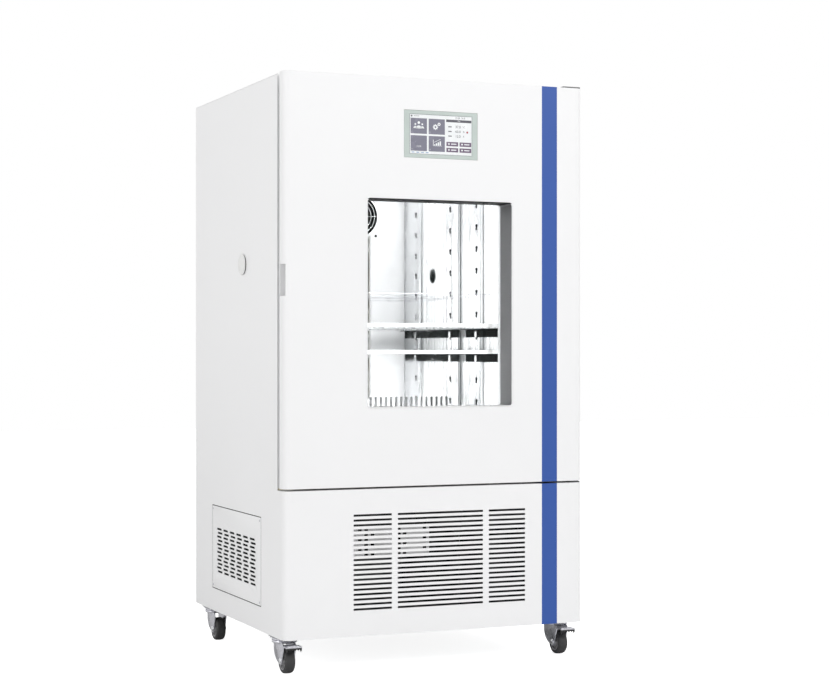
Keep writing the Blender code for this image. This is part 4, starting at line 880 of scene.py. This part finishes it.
def vent_punch(first_row, stagger):
    middle = at(SHEET / 2, 0.214 + stagger, 0.100 + first_row * VENT_STEP_Z)
    reach = VENT_LENGTH / 2 - VENT_HEIGHT / 2
    outline = arc((middle.y + reach, middle.z), VENT_HEIGHT / 2, -90, 90, 8)
    outline += arc((middle.y - reach, middle.z), VENT_HEIGHT / 2, 90, 270, 8)
    punch = plate("punch", outline, "x", middle.x - 0.004, middle.x + 0.004)
    array(punch, VENT_COLUMNS, (0, VENT_STEP_Y, 0))
    return array(punch, VENT_ROWS // 2, (0, 0, 2 * VENT_STEP_Z))


def vented_panel():
    outline = rounded(*PANEL_SIDES, 0.002)
    sheet = plate("vented_service_panel", outline, "x", CORNER.x, CORNER.x + SHEET)
    cut(sheet, vent_punch(0, 0), vent_punch(1, VENT_STAGGER))
    return bevelled(sheet, 0.0003, 2)


painted(vented_panel(), powder, "white_paint", "cabinet", "left_service_panel")


def grown(low, high, by, radius):
    """A rounded rectangle that stands out by some distance all round."""
    return rounded((low[0] - by, low[1] - by), (high[0] + by, high[1] + by), radius)


def panel_gap_shade():
    start, end = CORNER.x + 0.0003, CORNER.x + SHEET
    edging = plate("panel_gap_shade", grown(*PANEL_SIDES, 0.0018, 0.003), "x", start, end)
    inside = plate("inside", grown(*PANEL_SIDES, 0.0001, 0.002), "x", start - 0.01, end + 0.01)
    return cut(edging, inside)


# painted shade: a black frame in the gap round the panel
painted(panel_gap_shade(), matt_black, "gasket", "cabinet")
# painted shade: black pads behind the vents and behind the slots in the back
SHADE_PADS = {
    "vent_shade_pad": (at(SHEET, 0.186, 0.088), at(SHEET + 0.008, 0.506, 0.217)),
    "rear_slot_shade_pad": (at(0.110, 0.6655, 0.098), at(0.630, 0.6733, 0.194)),
}
for name, (low, high) in SHADE_PADS.items():
    painted(bevelled(block(name, low, high), 0.001), matt_black, "black_plastic", "cabinet")


def pan_head(name, place, axis, side, radius=0.0028):
    """A low domed screw head with a cross recess, facing side along an axis."""
    height = 0.0009
    dome = ((0, 0), (0, 1), (0.45, 0.94), (0.85, 0.62), (1, 0))
    profile = [(side * height * rise, radius * out) for rise, out in dome]
    head = turned(name, profile, axis, place, 24)
    along = "xyz".index(axis)
    for turn in (along + 1, along + 2):
        size = Vector((0.0005, 0.0005, 0.0005))
        size[along] = 0.0008
        size[turn % 3] = radius
        middle = Vector(place)
        middle[along] += side * height
        cut(head, block("recess", middle - size / 2, middle + size / 2))
    return head


MARGIN = 0.007
for side, hand in HANDS:
    first_screw = pan_head("screw", (0, 0, 0), "x", side)
    screws = []
    for y in (PANEL_LOW.y + MARGIN, PANEL_HIGH.y - MARGIN):
        for z in (PANEL_LOW.z + MARGIN, PANEL_HIGH.z - MARGIN):
            screws.append(moved_copy(first_screw, "screw", (CORNER.x + from_side(0, side), y, z)))
    painted(joined(f"{hand}_panel_screws", screws), zinc, "zinc", "cabinet")
    discard(first_screw)
print("vents:", VENT_ROWS * VENT_COLUMNS)

# %% [markdown]
# Behind the louvres at the left, a pale cover with round holes is folded over the black control box.
# Its holes are staggered from row to row, at the louvres' own pitch.

# %% Cover in front of the control box
COVER_TOP, COVER_PITCH, COVER_ROWS = 0.2310, 0.0110, 6
COVER_HOLES = ((0.1965, 0.2118, 0.2917, 0.3550), (0.2118, 0.2271, 0.2917, 0.3058))
COVER_HOLE = 0.0046


def control_cover():
    top = COVER_TOP + COVER_PITCH / 2
    bottom = top - COVER_PITCH * COVER_ROWS
    cover = block("control_cover", at(0.157, 0.0440, bottom), at(0.3665, 0.0450, top))
    fold = block("cover_fold", at(0.157, 0.0440, top - 0.001), at(0.3665, 0.0499, top))
    fused(cover, fold)
    holes = []
    for row in range(COVER_ROWS):
        for x in COVER_HOLES[row % 2]:
            place = at(x, 0.0445, COVER_TOP - row * COVER_PITCH)
            holes.append(rod("hole", place, COVER_HOLE, 0.004, "y", 24))
    return cut(cover, *holes)


painted(control_cover(), powder, "white_paint", "cabinet")

# %% [markdown]
# ## Cable ports
# A white cap closes each port. It is turned with a soft edge, a shallow groove and a finger ridge, and
# a black rubber stem under it fills the tube. The flanged tube itself is dark, which is why the port
# shows as a black oval from inside the chamber.

# %% Port caps, stems and tubes
PORT = at(0, 0.287, 0.836)
PORT_BORE = 0.018


def port(side, hand):
    centre = (CORNER.x + from_side(0, side), PORT.y, PORT.z)
    cap = [
        (0.0021, 0.0), (0.0021, 0.0236), (0.0026, 0.0240), (0.0044, 0.0239), (0.0055, 0.0231),
        (0.0060, 0.0216), (0.0060, 0.0196), (0.0056, 0.0190), (0.0056, 0.0178), (0.0060, 0.0172),
        (0.0061, 0.0),
    ]
    stem = [(0.0020, 0.0), (0.0020, 0.0174), (-0.0206, 0.0168), (-0.0218, 0.0158), (-0.0218, 0.0)]
    tube = [
        (0.0018, PORT_BORE), (0.0018, 0.0222), (0.0004, 0.0225), (0.0003, 0.0199),
        (-0.0700, 0.0199), (-0.0700, PORT_BORE),
    ]
    plug = f"{hand}_port_plug"
    pieces = (
        ("cap", cap, 64, white_moulding, "white_plastic", plug, plug),
        ("stem", stem, 48, matt_black, "black_plastic", plug),
        ("tube", tube, 48, matt_black, "black_plastic", "cabinet", f"{hand}_port_bushing"),
    )
    for part, profile, steps, *look in pieces:
        profile = [(side * along, radius) for along, radius in profile]
        painted(turned(f"{hand}_port_{part}", profile, "x", centre, steps), *look)


for side, hand in HANDS:
    port(side, hand)

# %% [markdown]
# ## Fan guard
# The guard is a polished flange ring with concentric bright wires on six spokes and a pressed boss in
# the middle. Rings are tori, so the wires stay round from any side. Four black screws hold the fan
# behind it to the duct panel, and a black pad on the lining's back wall is painted shade, which keeps
# the space behind the fan dark.

# %% Rings, spokes and screws
FAN_CENTRE = at(0.370, 0.4983, 0.974)
WIRE = 0.0008
GUARD_RINGS = (0.0450, 0.0355, 0.0260, 0.0165)
GUARD_EYE = 0.0522
FAN_SCREW, SCREW_BACK = 0.0490, 0.0013
FAN_SHADE_LOW, FAN_SHADE_HIGH = at(0.250, 0.5735, 0.880), at(0.490, 0.5745, 1.120)


def guard_wires():
    parts = []
    for radius in GUARD_RINGS:
        parts.append(ring("wire", FAN_CENTRE, radius, WIRE, "y"))
    for turn in (0, 60, 120):
        spoke = rod("spoke", FAN_CENTRE + Vector((0, 0.0007, 0)), WIRE * 0.8, 0.108, "z", 12)
        in_edit(spoke)
        bpy.ops.transform.rotate(
            value=math.radians(turn + 90), orient_axis="Y", center_override=FAN_CENTRE
        )
        parts.append(only(spoke))
    boss = [(-0.0006, 0.0), (-0.0006, 0.0072), (0.0002, 0.0080), (0.0011, 0.0080), (0.0011, 0.0)]
    parts.append(turned("boss", boss, "y", FAN_CENTRE, 48))
    return joined("guard_wires", parts)


def guard_flange():
    profile = [
        (0.0014, GUARD_EYE), (0.0014, 0.0580), (-0.0002, 0.0582), (-0.0007, 0.0574),
        (-0.0007, GUARD_EYE + 0.0008), (-0.0002, GUARD_EYE),
    ]
    return turned("guard_flange", profile, "y", FAN_CENTRE, 96)


painted(guard_wires(), chrome, "stainless", "cabinet", "fan_guard")
painted(guard_flange(), mirror, "stainless", "cabinet")
fan_screws = []
for dx in (-1, 1):
    for dz in (-1, 1):
        x, z = FAN_CENTRE.x + dx * FAN_SCREW, FAN_CENTRE.z + dz * FAN_SCREW
        place = (x, FAN_CENTRE.y + SCREW_BACK, z)
        fan_screws.append(pan_head("fan_screw", place, "y", -1, 0.0032))
painted(joined("fan_screws", fan_screws), matt_black, "black_plastic", "cabinet")
# painted shade: a black pad on the back wall behind the fan
painted(block("fan_shade_pad", FAN_SHADE_LOW, FAN_SHADE_HIGH), matt_black, "black_plastic", "cabinet")
print("guard rings:", len(GUARD_RINGS))

# %% [markdown]
# ## Slotted uprights and shelf rack
# Four broad folded columns stand on the side walls, one before and one behind the cable ports. Each has
# keyholes at one pitch near its inner edge: a round hole on top, for the head of a hook, and a narrow
# slot below. A black strip behind each column shows through the gap at its foot as a thin dark line
# of painted shade. A pressed bead runs down the wall beside each column.

# %% Columns with keyholes
CHAMBER_SIDE = 0.0703
COLUMN_FACE = 0.0783
COLUMN_FOOT_GAP = 0.0013
COLUMN_SHEET = 0.0008
COLUMN_LOW, COLUMN_HIGH = 0.395, 1.190
COLUMNS = {"front": (0.1125, 0.2156, 0.1915), "rear": (0.3950, 0.4680, 0.4190)}
BEADS = {"front": 0.2560, "rear": 0.3573}
BEAD_RADIUS, BEAD_LENGTH = 0.0009, 0.790
KEYHOLE_PITCH = 0.0556
KEYHOLES = 14
KEYHOLE_FIRST = 0.449


def keyhole_punch(face_x, y):
    middle = at(0, y, KEYHOLE_FIRST)
    round_top = arc((0, 0), 1, -40, 220, 14)
    outline = [(middle.y + 0.0070 * a, middle.z + 0.0040 + 0.0038 * b) for a, b in round_top]
    outline += [(middle.y - 0.0036, middle.z - 0.0078), (middle.y + 0.0040, middle.z - 0.0078)]
    hole = plate("keyhole", outline, "x", face_x - 0.004, face_x + 0.004)
    side_slot = [
        (middle.y + 0.0062, middle.z - 0.0070), (middle.y + 0.0086, middle.z - 0.0070),
        (middle.y + 0.0086, middle.z - 0.0016), (middle.y + 0.0062, middle.z - 0.0016),
    ]
    slot = plate("slot", side_slot, "x", face_x - 0.004, face_x + 0.004)
    punch = joined("keyhole", [hole, slot])
    return array(punch, KEYHOLES, (0, 0, KEYHOLE_PITCH))


def keyhole_column(name, side, front, back, keyhole_y):
    foot = CHAMBER_SIDE + COLUMN_FOOT_GAP
    inside = COLUMN_FACE - COLUMN_SHEET
    sheet = COLUMN_SHEET
    outline = [
        (foot, front), (COLUMN_FACE, front), (COLUMN_FACE, back), (foot, back),
        (foot, back - sheet), (inside, back - sheet), (inside, front + sheet), (foot, front + sheet),
    ]
    places = [at(from_side(a, side), b, 0).xy for a, b in outline]
    column = plate(name, places, "z", at(0, 0, COLUMN_LOW).z, at(0, 0, COLUMN_HIGH).z)
    cut(column, keyhole_punch(at(from_side(COLUMN_FACE, side), 0, 0).x, keyhole_y))
    return bevelled(column, 0.0003, 2)


for side, hand in HANDS:
    wall, strip_face = from_side(CHAMBER_SIDE, side), from_side(CHAMBER_SIDE + 0.0035, side)
    for end, (front, back, keyhole_y) in COLUMNS.items():
        column = keyhole_column(f"{hand}_{end}_keyhole_column", side, front, back, keyhole_y)
        painted(column, brushed, "stainless", "cabinet", f"{hand}_{end}_upright")
        low = at(min(wall, strip_face), front + COLUMN_SHEET, COLUMN_LOW + 0.002)
        high = at(max(wall, strip_face), back - COLUMN_SHEET, COLUMN_HIGH - 0.002)
        # painted shade: a black strip behind the column, seen through the gap at its foot
        strip = bevelled(block(f"{hand}_{end}_column_shade_strip", low, high), 0.0003)
        painted(strip, matt_black, "black_paint", "cabinet")
        middle = at(wall, BEADS[end], (COLUMN_LOW + COLUMN_HIGH) / 2)
        bead = rod(f"{hand}_{end}_wall_bead", middle, BEAD_RADIUS, BEAD_LENGTH, "z", 16)
        painted(bevelled(bead, 0.0002), brushed, "stainless", "cabinet")
print("keyholes on each column:", KEYHOLES)

# %% [markdown]
# Each runner hangs from the columns by two bright hook tabs, folded over its web where it meets the
# keyholes.

# %% Hook tabs on the runners
TAB_WIDTH = 0.012
TAB_THICK = 0.0010
tabs = []
for side, hand in HANDS:
    for level in ("upper", "lower"):
        low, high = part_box(f"{hand}_{level}_runner")
        web = low.x + SHEET if side < 0 else high.x - SHEET
        for *_, keyhole_y in COLUMNS.values():
            y = at(0, keyhole_y, 0).y
            near, far = sorted((web, web - side * TAB_THICK))
            first = (near, y - TAB_WIDTH / 2, low.z)
            last = (far, y + TAB_WIDTH / 2, high.z - SHEET - 0.0003)
            tabs.append(bevelled(block("tab", first, last), 0.0003))
painted(joined("runner_hook_tabs", tabs), brushed, "stainless", "cabinet")
print("hook tabs:", len(tabs))

# %% [markdown]
# The wire frame is one bent rod. A plane's corners are rounded by a vertex bevel, its face is removed,
# and the loop that is left becomes a curve, which gets its thickness and is made a mesh again.

# %% Wire frame on the uprights
WIRE_FRAME_Z = 0.771
WIRE_FRAME_RADIUS = 0.0008


def wire_frame():
    low, high = at(0.0795, 0.190, WIRE_FRAME_Z), at(BODY_WIDTH - 0.0795, 0.420, WIRE_FRAME_Z)
    size = high - low
    clear()
    bpy.ops.mesh.primitive_plane_add(size=1, location=(low + high) / 2)
    obj = settled("wire_frame")
    in_edit(obj)
    bpy.ops.transform.resize(value=(size.x, size.y, 1), center_override=(low + high) / 2)
    bpy.ops.mesh.bevel(affect="VERTICES", offset=0.010, segments=6)
    bpy.ops.mesh.select_all(action="SELECT")
    bpy.ops.mesh.delete(type="ONLY_FACE")
    only(obj)
    bpy.ops.object.convert(target="CURVE")
    obj = bpy.context.object
    obj.data.bevel_depth = WIRE_FRAME_RADIUS
    obj.data.bevel_resolution = 3
    bpy.ops.object.convert(target="MESH")
    return settled("wire_frame")


painted(wire_frame(), zinc, "zinc", "cabinet")

# %% [markdown]
# ## Inner side of the door
# The white back of the door is pressed out into the plug that enters the chamber. It stands close to
# the chamber's wall at the hinges and further off at the free edge, which swings out past the wall. Its
# opening is a little larger than the window, with a short sleeve back to the inner pane, so from the
# front the edge of the glass hides it. The spacer between the panes keeps clear of the view as well.

# %% Plug skin, sleeve and spacer
WINDOW_LOW, WINDOW_HIGH = (0.196, 0.507), (0.558, 0.977)
WINDOW_CORNER = 0.008
PLUG_BACK = 0.098
PLUG_LEFT, PLUG_RIGHT = 0.080, 0.667
PLUG_FLOOR, PLUG_TOP = 0.389, 1.196
SLEEVE_OUT, SLEEVE_IN = 0.0098, 0.0090
SPACER_IN = 0.0050


def window_plate(name, by, start, end):
    low, high = [at(x, 0, z).xz for x, z in (WINDOW_LOW, WINDOW_HIGH)]
    outline = grown(low, high, by, WINDOW_CORNER + by)
    return plate(name, outline, "y", at(0, start, 0).y, at(0, end, 0).y)


def plug_skin():
    low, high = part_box("door_inner_panel")
    face_low, face_high = at(PLUG_LEFT, 0.0280, PLUG_FLOOR), at(PLUG_RIGHT, PLUG_BACK, PLUG_TOP)
    inset = Vector((SHEET, SHEET, SHEET))
    skin = block("door_plug_skin", low, (high.x, low.y + SHEET, high.z))
    fused(skin, block("plug", face_low, face_high))
    hollow_low = (face_low.x + SHEET, face_low.y - 0.01, face_low.z + SHEET)
    cut(skin, block("hollow", hollow_low, face_high - inset))
    cut(skin, window_plate("opening", SLEEVE_OUT, 0.03, 0.15))
    sleeve = window_plate("sleeve", SLEEVE_OUT, 0.0852, PLUG_BACK)
    cut(sleeve, window_plate("inside", SLEEVE_IN, 0.03, 0.15))
    fused(skin, sleeve)
    return bevelled(skin, 0.0005, 2)


painted(plug_skin(), powder, "white_paint", "door", "door_inner_panel")
spacer_low, spacer_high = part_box("window_spacer")
spacer = window_plate("pane_spacer", SLEEVE_OUT, spacer_low.y - CORNER.y, spacer_high.y - CORNER.y)
cut(spacer, window_plate("inside", SPACER_IN, 0.03, 0.15))
painted(spacer, aluminium, "aluminium", "door", "window_spacer")
print("sleeve stands", SLEEVE_IN, "m outside the window")

# %% [markdown]
# ## Touch display
# The panel lies 0.8 mm below its bezel. Its picture is made of thin pieces on a white ground: four big
# tiles with plain icons, a column with three readings, and four small buttons. Places are given as
# parts of the screen's width and height, from its top left corner, and each layer is a tenth of a
# millimetre thick.

# %% Screen places and inks
screen_low, screen_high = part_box("display_screen")
SCREEN_W = screen_high.x - screen_low.x
SCREEN_H = screen_high.z - screen_low.z
LAYER = 0.0001


def ink(name, colour):
    return material(name, colour, 0.25, "mould", 0.01, 0.00001)


ink_white = ink("screen_white", (0.90, 0.92, 0.93))
ink_tile = ink("screen_tile", (0.215, 0.213, 0.270))
ink_button = ink("screen_button", (0.170, 0.125, 0.190))
ink_dark = ink("screen_ink", (0.10, 0.10, 0.12))
ink_red = ink("screen_dot", (0.36, 0.02, 0.035))
ink_blue = ink("screen_blue", (0.30, 0.42, 0.62))


def on_screen(u, v, layer):
    """A point on the screen, from its top left corner, raised by a number of layers."""
    x, z = screen_low.x + u * SCREEN_W, screen_high.z - v * SCREEN_H
    return Vector((x, screen_low.y - layer * LAYER, z))


def tile(u0, v0, u1, v1, layer):
    return block("tile", on_screen(u0, v1, layer), on_screen(u1, v0, layer - 1))


def disc(u, v, radius, layer):
    """A round mark with its radius in metres."""
    return rod("disc", on_screen(u, v, layer - 0.5), radius, LAYER, "y")


def words(text, u, v, size, layer):
    """Figures on the screen, made a mesh before their place is applied."""
    clear()
    bpy.ops.object.text_add(location=on_screen(u, v, layer - 0.5), rotation=(math.pi / 2, 0, 0))
    figures = bpy.context.object
    figures.data.body = text
    figures.data.size = size
    figures.data.align_x = "CENTER"
    figures.data.align_y = "CENTER"
    figures.data.extrude = LAYER / 2
    figures.data.resolution_u = 3
    bpy.ops.object.convert(target="MESH")
    return settled("figures")


print("screen", round(SCREEN_W, 4), "by", round(SCREEN_H, 4))

# %% Tiles, buttons and ground
ground = tile(0.003, 0.004, 0.997, 0.996, 1)
TILES = [(0.014, 0.098), (0.302, 0.098), (0.014, 0.535), (0.302, 0.535)]
TILE_W, TILE_H = 0.260, 0.392
big = [tile(u, v, u + TILE_W, v + TILE_H, 2) for u, v in TILES]
BUTTONS = [(0.588, 0.664), (0.800, 0.664), (0.588, 0.816), (0.800, 0.816)]
BUTTON_W, BUTTON_H = 0.190, 0.108
small = [tile(u, v, u + BUTTON_W, v + BUTTON_H, 2) for u, v in BUTTONS]
title = tile(0.584, 0.094, 0.992, 0.160, 2)
painted(ground, ink_white, "screen", "door")
painted(joined("screen_tiles", big), ink_tile, "screen", "door")
painted(joined("screen_buttons", small), ink_button, "screen", "door")

# %% [markdown]
# The icons are built from discs and boxes: three people, two cog wheels and a bar chart.

# %% Icons


def person(u, v, scale):
    head = disc(u, v - 0.055 * scale, 0.0027 * scale, 3)
    chest = disc(u, v + 0.075 * scale, 0.0060 * scale, 3)
    below = on_screen(u, v + 0.075 * scale, 3)
    cut(chest, block("below", below + Vector((-0.01, -0.001, -0.01)), below + Vector((0.01, 0.002, 0))))
    return [head, chest]


def cog(u, v, radius):
    middle = on_screen(u, v, 2.5)
    wheel = disc(u, v, radius * 0.80, 3)
    bar = (2 * radius, LAYER, radius * 0.36)
    fused(wheel, *[box_about("teeth", middle, bar, (0, math.pi * i / 4, 0)) for i in range(4)])
    return cut(wheel, rod("bore", middle, radius * 0.34, 0.001, "y", 32))


def chart(u, v):
    bars = []
    for i in range(4):
        left, top = u - 0.045 + i * 0.030, v + 0.060 - 0.028 * (i + 1)
        bars.append(tile(left, top, left + 0.022, v + 0.060, 3))
    axis = tile(u - 0.060, v - 0.085, u - 0.052, v + 0.075, 3)
    foot = tile(u - 0.060, v + 0.067, u + 0.080, v + 0.075, 3)
    middle = on_screen(u + 0.008, v - 0.060, 2.5)
    return bars + [axis, foot, box_about("trend", middle, (0.0170, LAYER, 0.0009), (0, -0.45, 0))]


def middle_of(index):
    u, v = TILES[index]
    return u + TILE_W / 2, v + TILE_H * 0.45


icons = []
u, v = middle_of(0)
icons += person(u, v, 1.15) + person(u - 0.055, v + 0.02, 0.8) + person(u + 0.055, v + 0.02, 0.8)
u, v = middle_of(1)
icons += [cog(u - 0.022, v + 0.03, 0.0064), cog(u + 0.036, v - 0.045, 0.0040)]
u, v = middle_of(3)
icons += chart(u, v)
u, v = middle_of(2)
icons += [words("12:30", u, v + 0.10, 0.0052, 3)]
for i, (u, v) in enumerate(TILES):
    icons.append(words(str(i + 1), u + 0.020, v + TILE_H - 0.045, 0.0042, 3))
for u, v in BUTTONS:
    icons.append(disc(u + 0.040, v + 0.052, 0.0020, 3))
    icons.append(tile(u + 0.075, v + 0.040, u + 0.160, v + 0.065, 3))
icons.append(words("25.0", 0.789, 0.127, 0.0040, 3))
painted(joined("screen_icons", icons), ink_white, "screen", "door")

# %% Readings, clock and status marks
dark = [title]
for row, (value, unit) in enumerate((("37.0", "\u00b0C"), ("60.0", "%"), ("12.5", "h"))):
    v = 0.278 + row * 0.118
    dark += [tile(0.618, v - 0.012, 0.672, v + 0.012, 2)]
    dark += [words(value, 0.775, v, 0.0080, 2), words(unit, 0.868, v, 0.0062, 2)]
dark += [words("12:30  25.0", 0.810, 0.048, 0.0056, 2), disc(0.030, 0.045, 0.0019, 2)]
dark += [tile(0.065, 0.038, 0.150, 0.048, 2)]
painted(joined("screen_readings", dark), ink_dark, "screen", "door")
painted(disc(0.925, 0.402, 0.0022, 2), ink_red, "screen", "door")
marks = [tile(0.03 + 0.075 * i, 0.952, 0.075 + 0.075 * i, 0.972, 2) for i in range(4)]
painted(joined("screen_footer", marks), ink_blue, "screen", "door")

# %% [markdown]
# ## Door seal
# The door's seal is three soft frames in one: a foot that snaps on the inner panel, a narrow bellows,
# and a wide head with the magnet in it.

# %% Three frames of the seal
SEAL_INSET, SEAL_WIDTH, HINGE_SIDE = 0.012, 0.016, 0.025
DOOR_BOTTOM, DOOR_TOP = 0.3315, 1.248


def seal_frame(start, end, narrower):
    """One rounded frame of the seal between two depths, narrower on both sides."""
    low = at(SEAL_INSET + narrower, start, DOOR_BOTTOM + SEAL_INSET + narrower)
    high = at(BODY_WIDTH - HINGE_SIDE - narrower, end, DOOR_TOP - SEAL_INSET - narrower)
    width = SEAL_WIDTH - 2 * narrower
    outer = rounded((low.x, low.z), (high.x, high.z), 0.012 - narrower)
    inner = rounded((low.x + width, low.z + width), (high.x - width, high.z - width), 0.002)
    frame_ring = plate("seal", outer, "y", low.y, high.y)
    return cut(frame_ring, plate("inner", inner, "y", low.y - 0.01, high.y + 0.01))


seal_foot = bevelled(seal_frame(0.0293, 0.0325, 0.0), 0.0010, 3)
seal_fold = seal_frame(0.0320, 0.0366, 0.0035)
seal_head = bevelled(seal_frame(0.0362, 0.0430, 0.0006), 0.0016, 3)
piece = joined("door_seal", [seal_foot, seal_fold, seal_head])
painted(piece, seal, "gasket", "door", "door_gasket")
print("seal:", len(piece.data.polygons), "faces")

# %% [markdown]
# ## Stage, light and camera
# The cabinet stands on a plain white floor. A product photographer would use a big soft source from
# the front right and a white room: the front is then a little brighter than the left side. The world
# shows pure white to the camera and to glossy and transmission rays, and a plainer level lights the
# object. Three weak fills inside the chamber, one behind the window, one under the ceiling and one
# near the floor, stand for the chamber's own light and show it through the glass.

# %% Set the stage
FLOOR_SIZE = 24
FLOOR_GLOW = 0.85
WORLD_LEVEL = 0.55
AIM, SOFTBOX = (0, 0, 0.7), (3.0, 3.0)


def stage_floor():
    clear()
    bpy.ops.mesh.primitive_plane_add(size=FLOOR_SIZE, location=(0, 0, 0))
    floor = settled("floor")
    made = bpy.data.materials.new("white_floor")
    made.use_nodes = True
    tree = made.node_tree
    shader = tree.nodes["Principled BSDF"]
    shader.inputs["Base Color"].default_value = (0.95, 0.95, 0.95, 1)
    shader.inputs["Roughness"].default_value = 0.9
    shader.inputs["Specular IOR Level"].default_value = 0.1
    shader.inputs["Emission Color"].default_value = (1, 1, 1, 1)
    path = tree.nodes.new("ShaderNodeLightPath")
    glow = maths(tree, "MULTIPLY", path.outputs["Is Camera Ray"], FLOOR_GLOW)
    tree.links.new(glow, shader.inputs["Emission Strength"])
    floor.data.materials.append(made)


def stage_world(level):
    world = bpy.data.worlds.new("studio")
    bpy.context.scene.world = world
    world.use_nodes = True
    tree = world.node_tree
    background = tree.nodes["Background"]
    background.inputs["Color"].default_value = (1, 1, 1, 1)
    path = tree.nodes.new("ShaderNodeLightPath")
    seen = path.outputs["Is Camera Ray"]
    for output in ("Is Glossy Ray", "Is Transmission Ray"):
        seen = maths(tree, "MAXIMUM", seen, path.outputs[output])
    strength = ranged(tree, seen, level, 1.0, 0.0, 1.0)
    tree.links.new(strength, background.inputs["Strength"])


def soft_light(name, place, aim, size, power):
    """A rectangular area lamp at a place, turned towards a point."""
    lamp = bpy.data.lights.new(name, "AREA")
    lamp.shape = "RECTANGLE"
    lamp.size, lamp.size_y = size
    lamp.energy = power
    obj = bpy.data.objects.new(name, lamp)
    obj.location = place
    obj.rotation_euler = (Vector(aim) - Vector(place)).to_track_quat("-Z", "Y").to_euler()
    bpy.context.scene.collection.objects.link(obj)
    return obj


stage_floor()
stage_world(WORLD_LEVEL)
soft_light("front_softbox", (2.4, -5.6, 4.4), AIM, SOFTBOX, 168)
soft_light("left_softbox", (-4.2, -1.2, 2.6), AIM, SOFTBOX, 52)
soft_light("window_fill", at(0.377, 0.0965, 0.742), at(0.377, 0.5, 0.742), (0.35, 0.45), 1.2)
soft_light("ceiling_fill", at(0.37, 0.40, 1.19), at(0.37, 0.05, 0.80), (0.40, 0.12), 2.8)
soft_light("floor_fill", at(0.37, 0.40, 0.40), at(0.37, 0.05, 0.60), (0.40, 0.08), 2.0)

# %% [markdown]
# The camera stands a little below the door's handle, about 4.5 m from the cabinet's middle, and is
# turned so that the left side shows in steep perspective. Its place, turn and lens come from fitting
# the corners of the cabinet, and it isn't shifted.

# %% Place the camera
IMAGE_WIDTH = 829
FOCAL_PIXELS = 1833.7
SENSOR = 36.0
CAMERA_TURN = 23.19
CAMERA_PLACE = at(-1.3155, -3.7975, 0.6372)


def place_camera():
    lens = bpy.data.cameras.new("camera")
    lens.sensor_width = SENSOR
    lens.lens = SENSOR * FOCAL_PIXELS / IMAGE_WIDTH
    camera = bpy.data.objects.new("camera", lens)
    camera.location = CAMERA_PLACE
    camera.rotation_euler = (math.pi / 2, 0, -math.radians(CAMERA_TURN))
    bpy.context.scene.collection.objects.link(camera)
    bpy.context.scene.camera = camera
    bpy.context.scene.view_settings.view_transform = "Standard"
    return camera


camera = place_camera()
print("lens", round(camera.data.lens, 2), "mm at", [round(v, 3) for v in camera.location])

# %% [markdown]
# ## Finish

# %% Finish
bpy.context.view_layer.update()
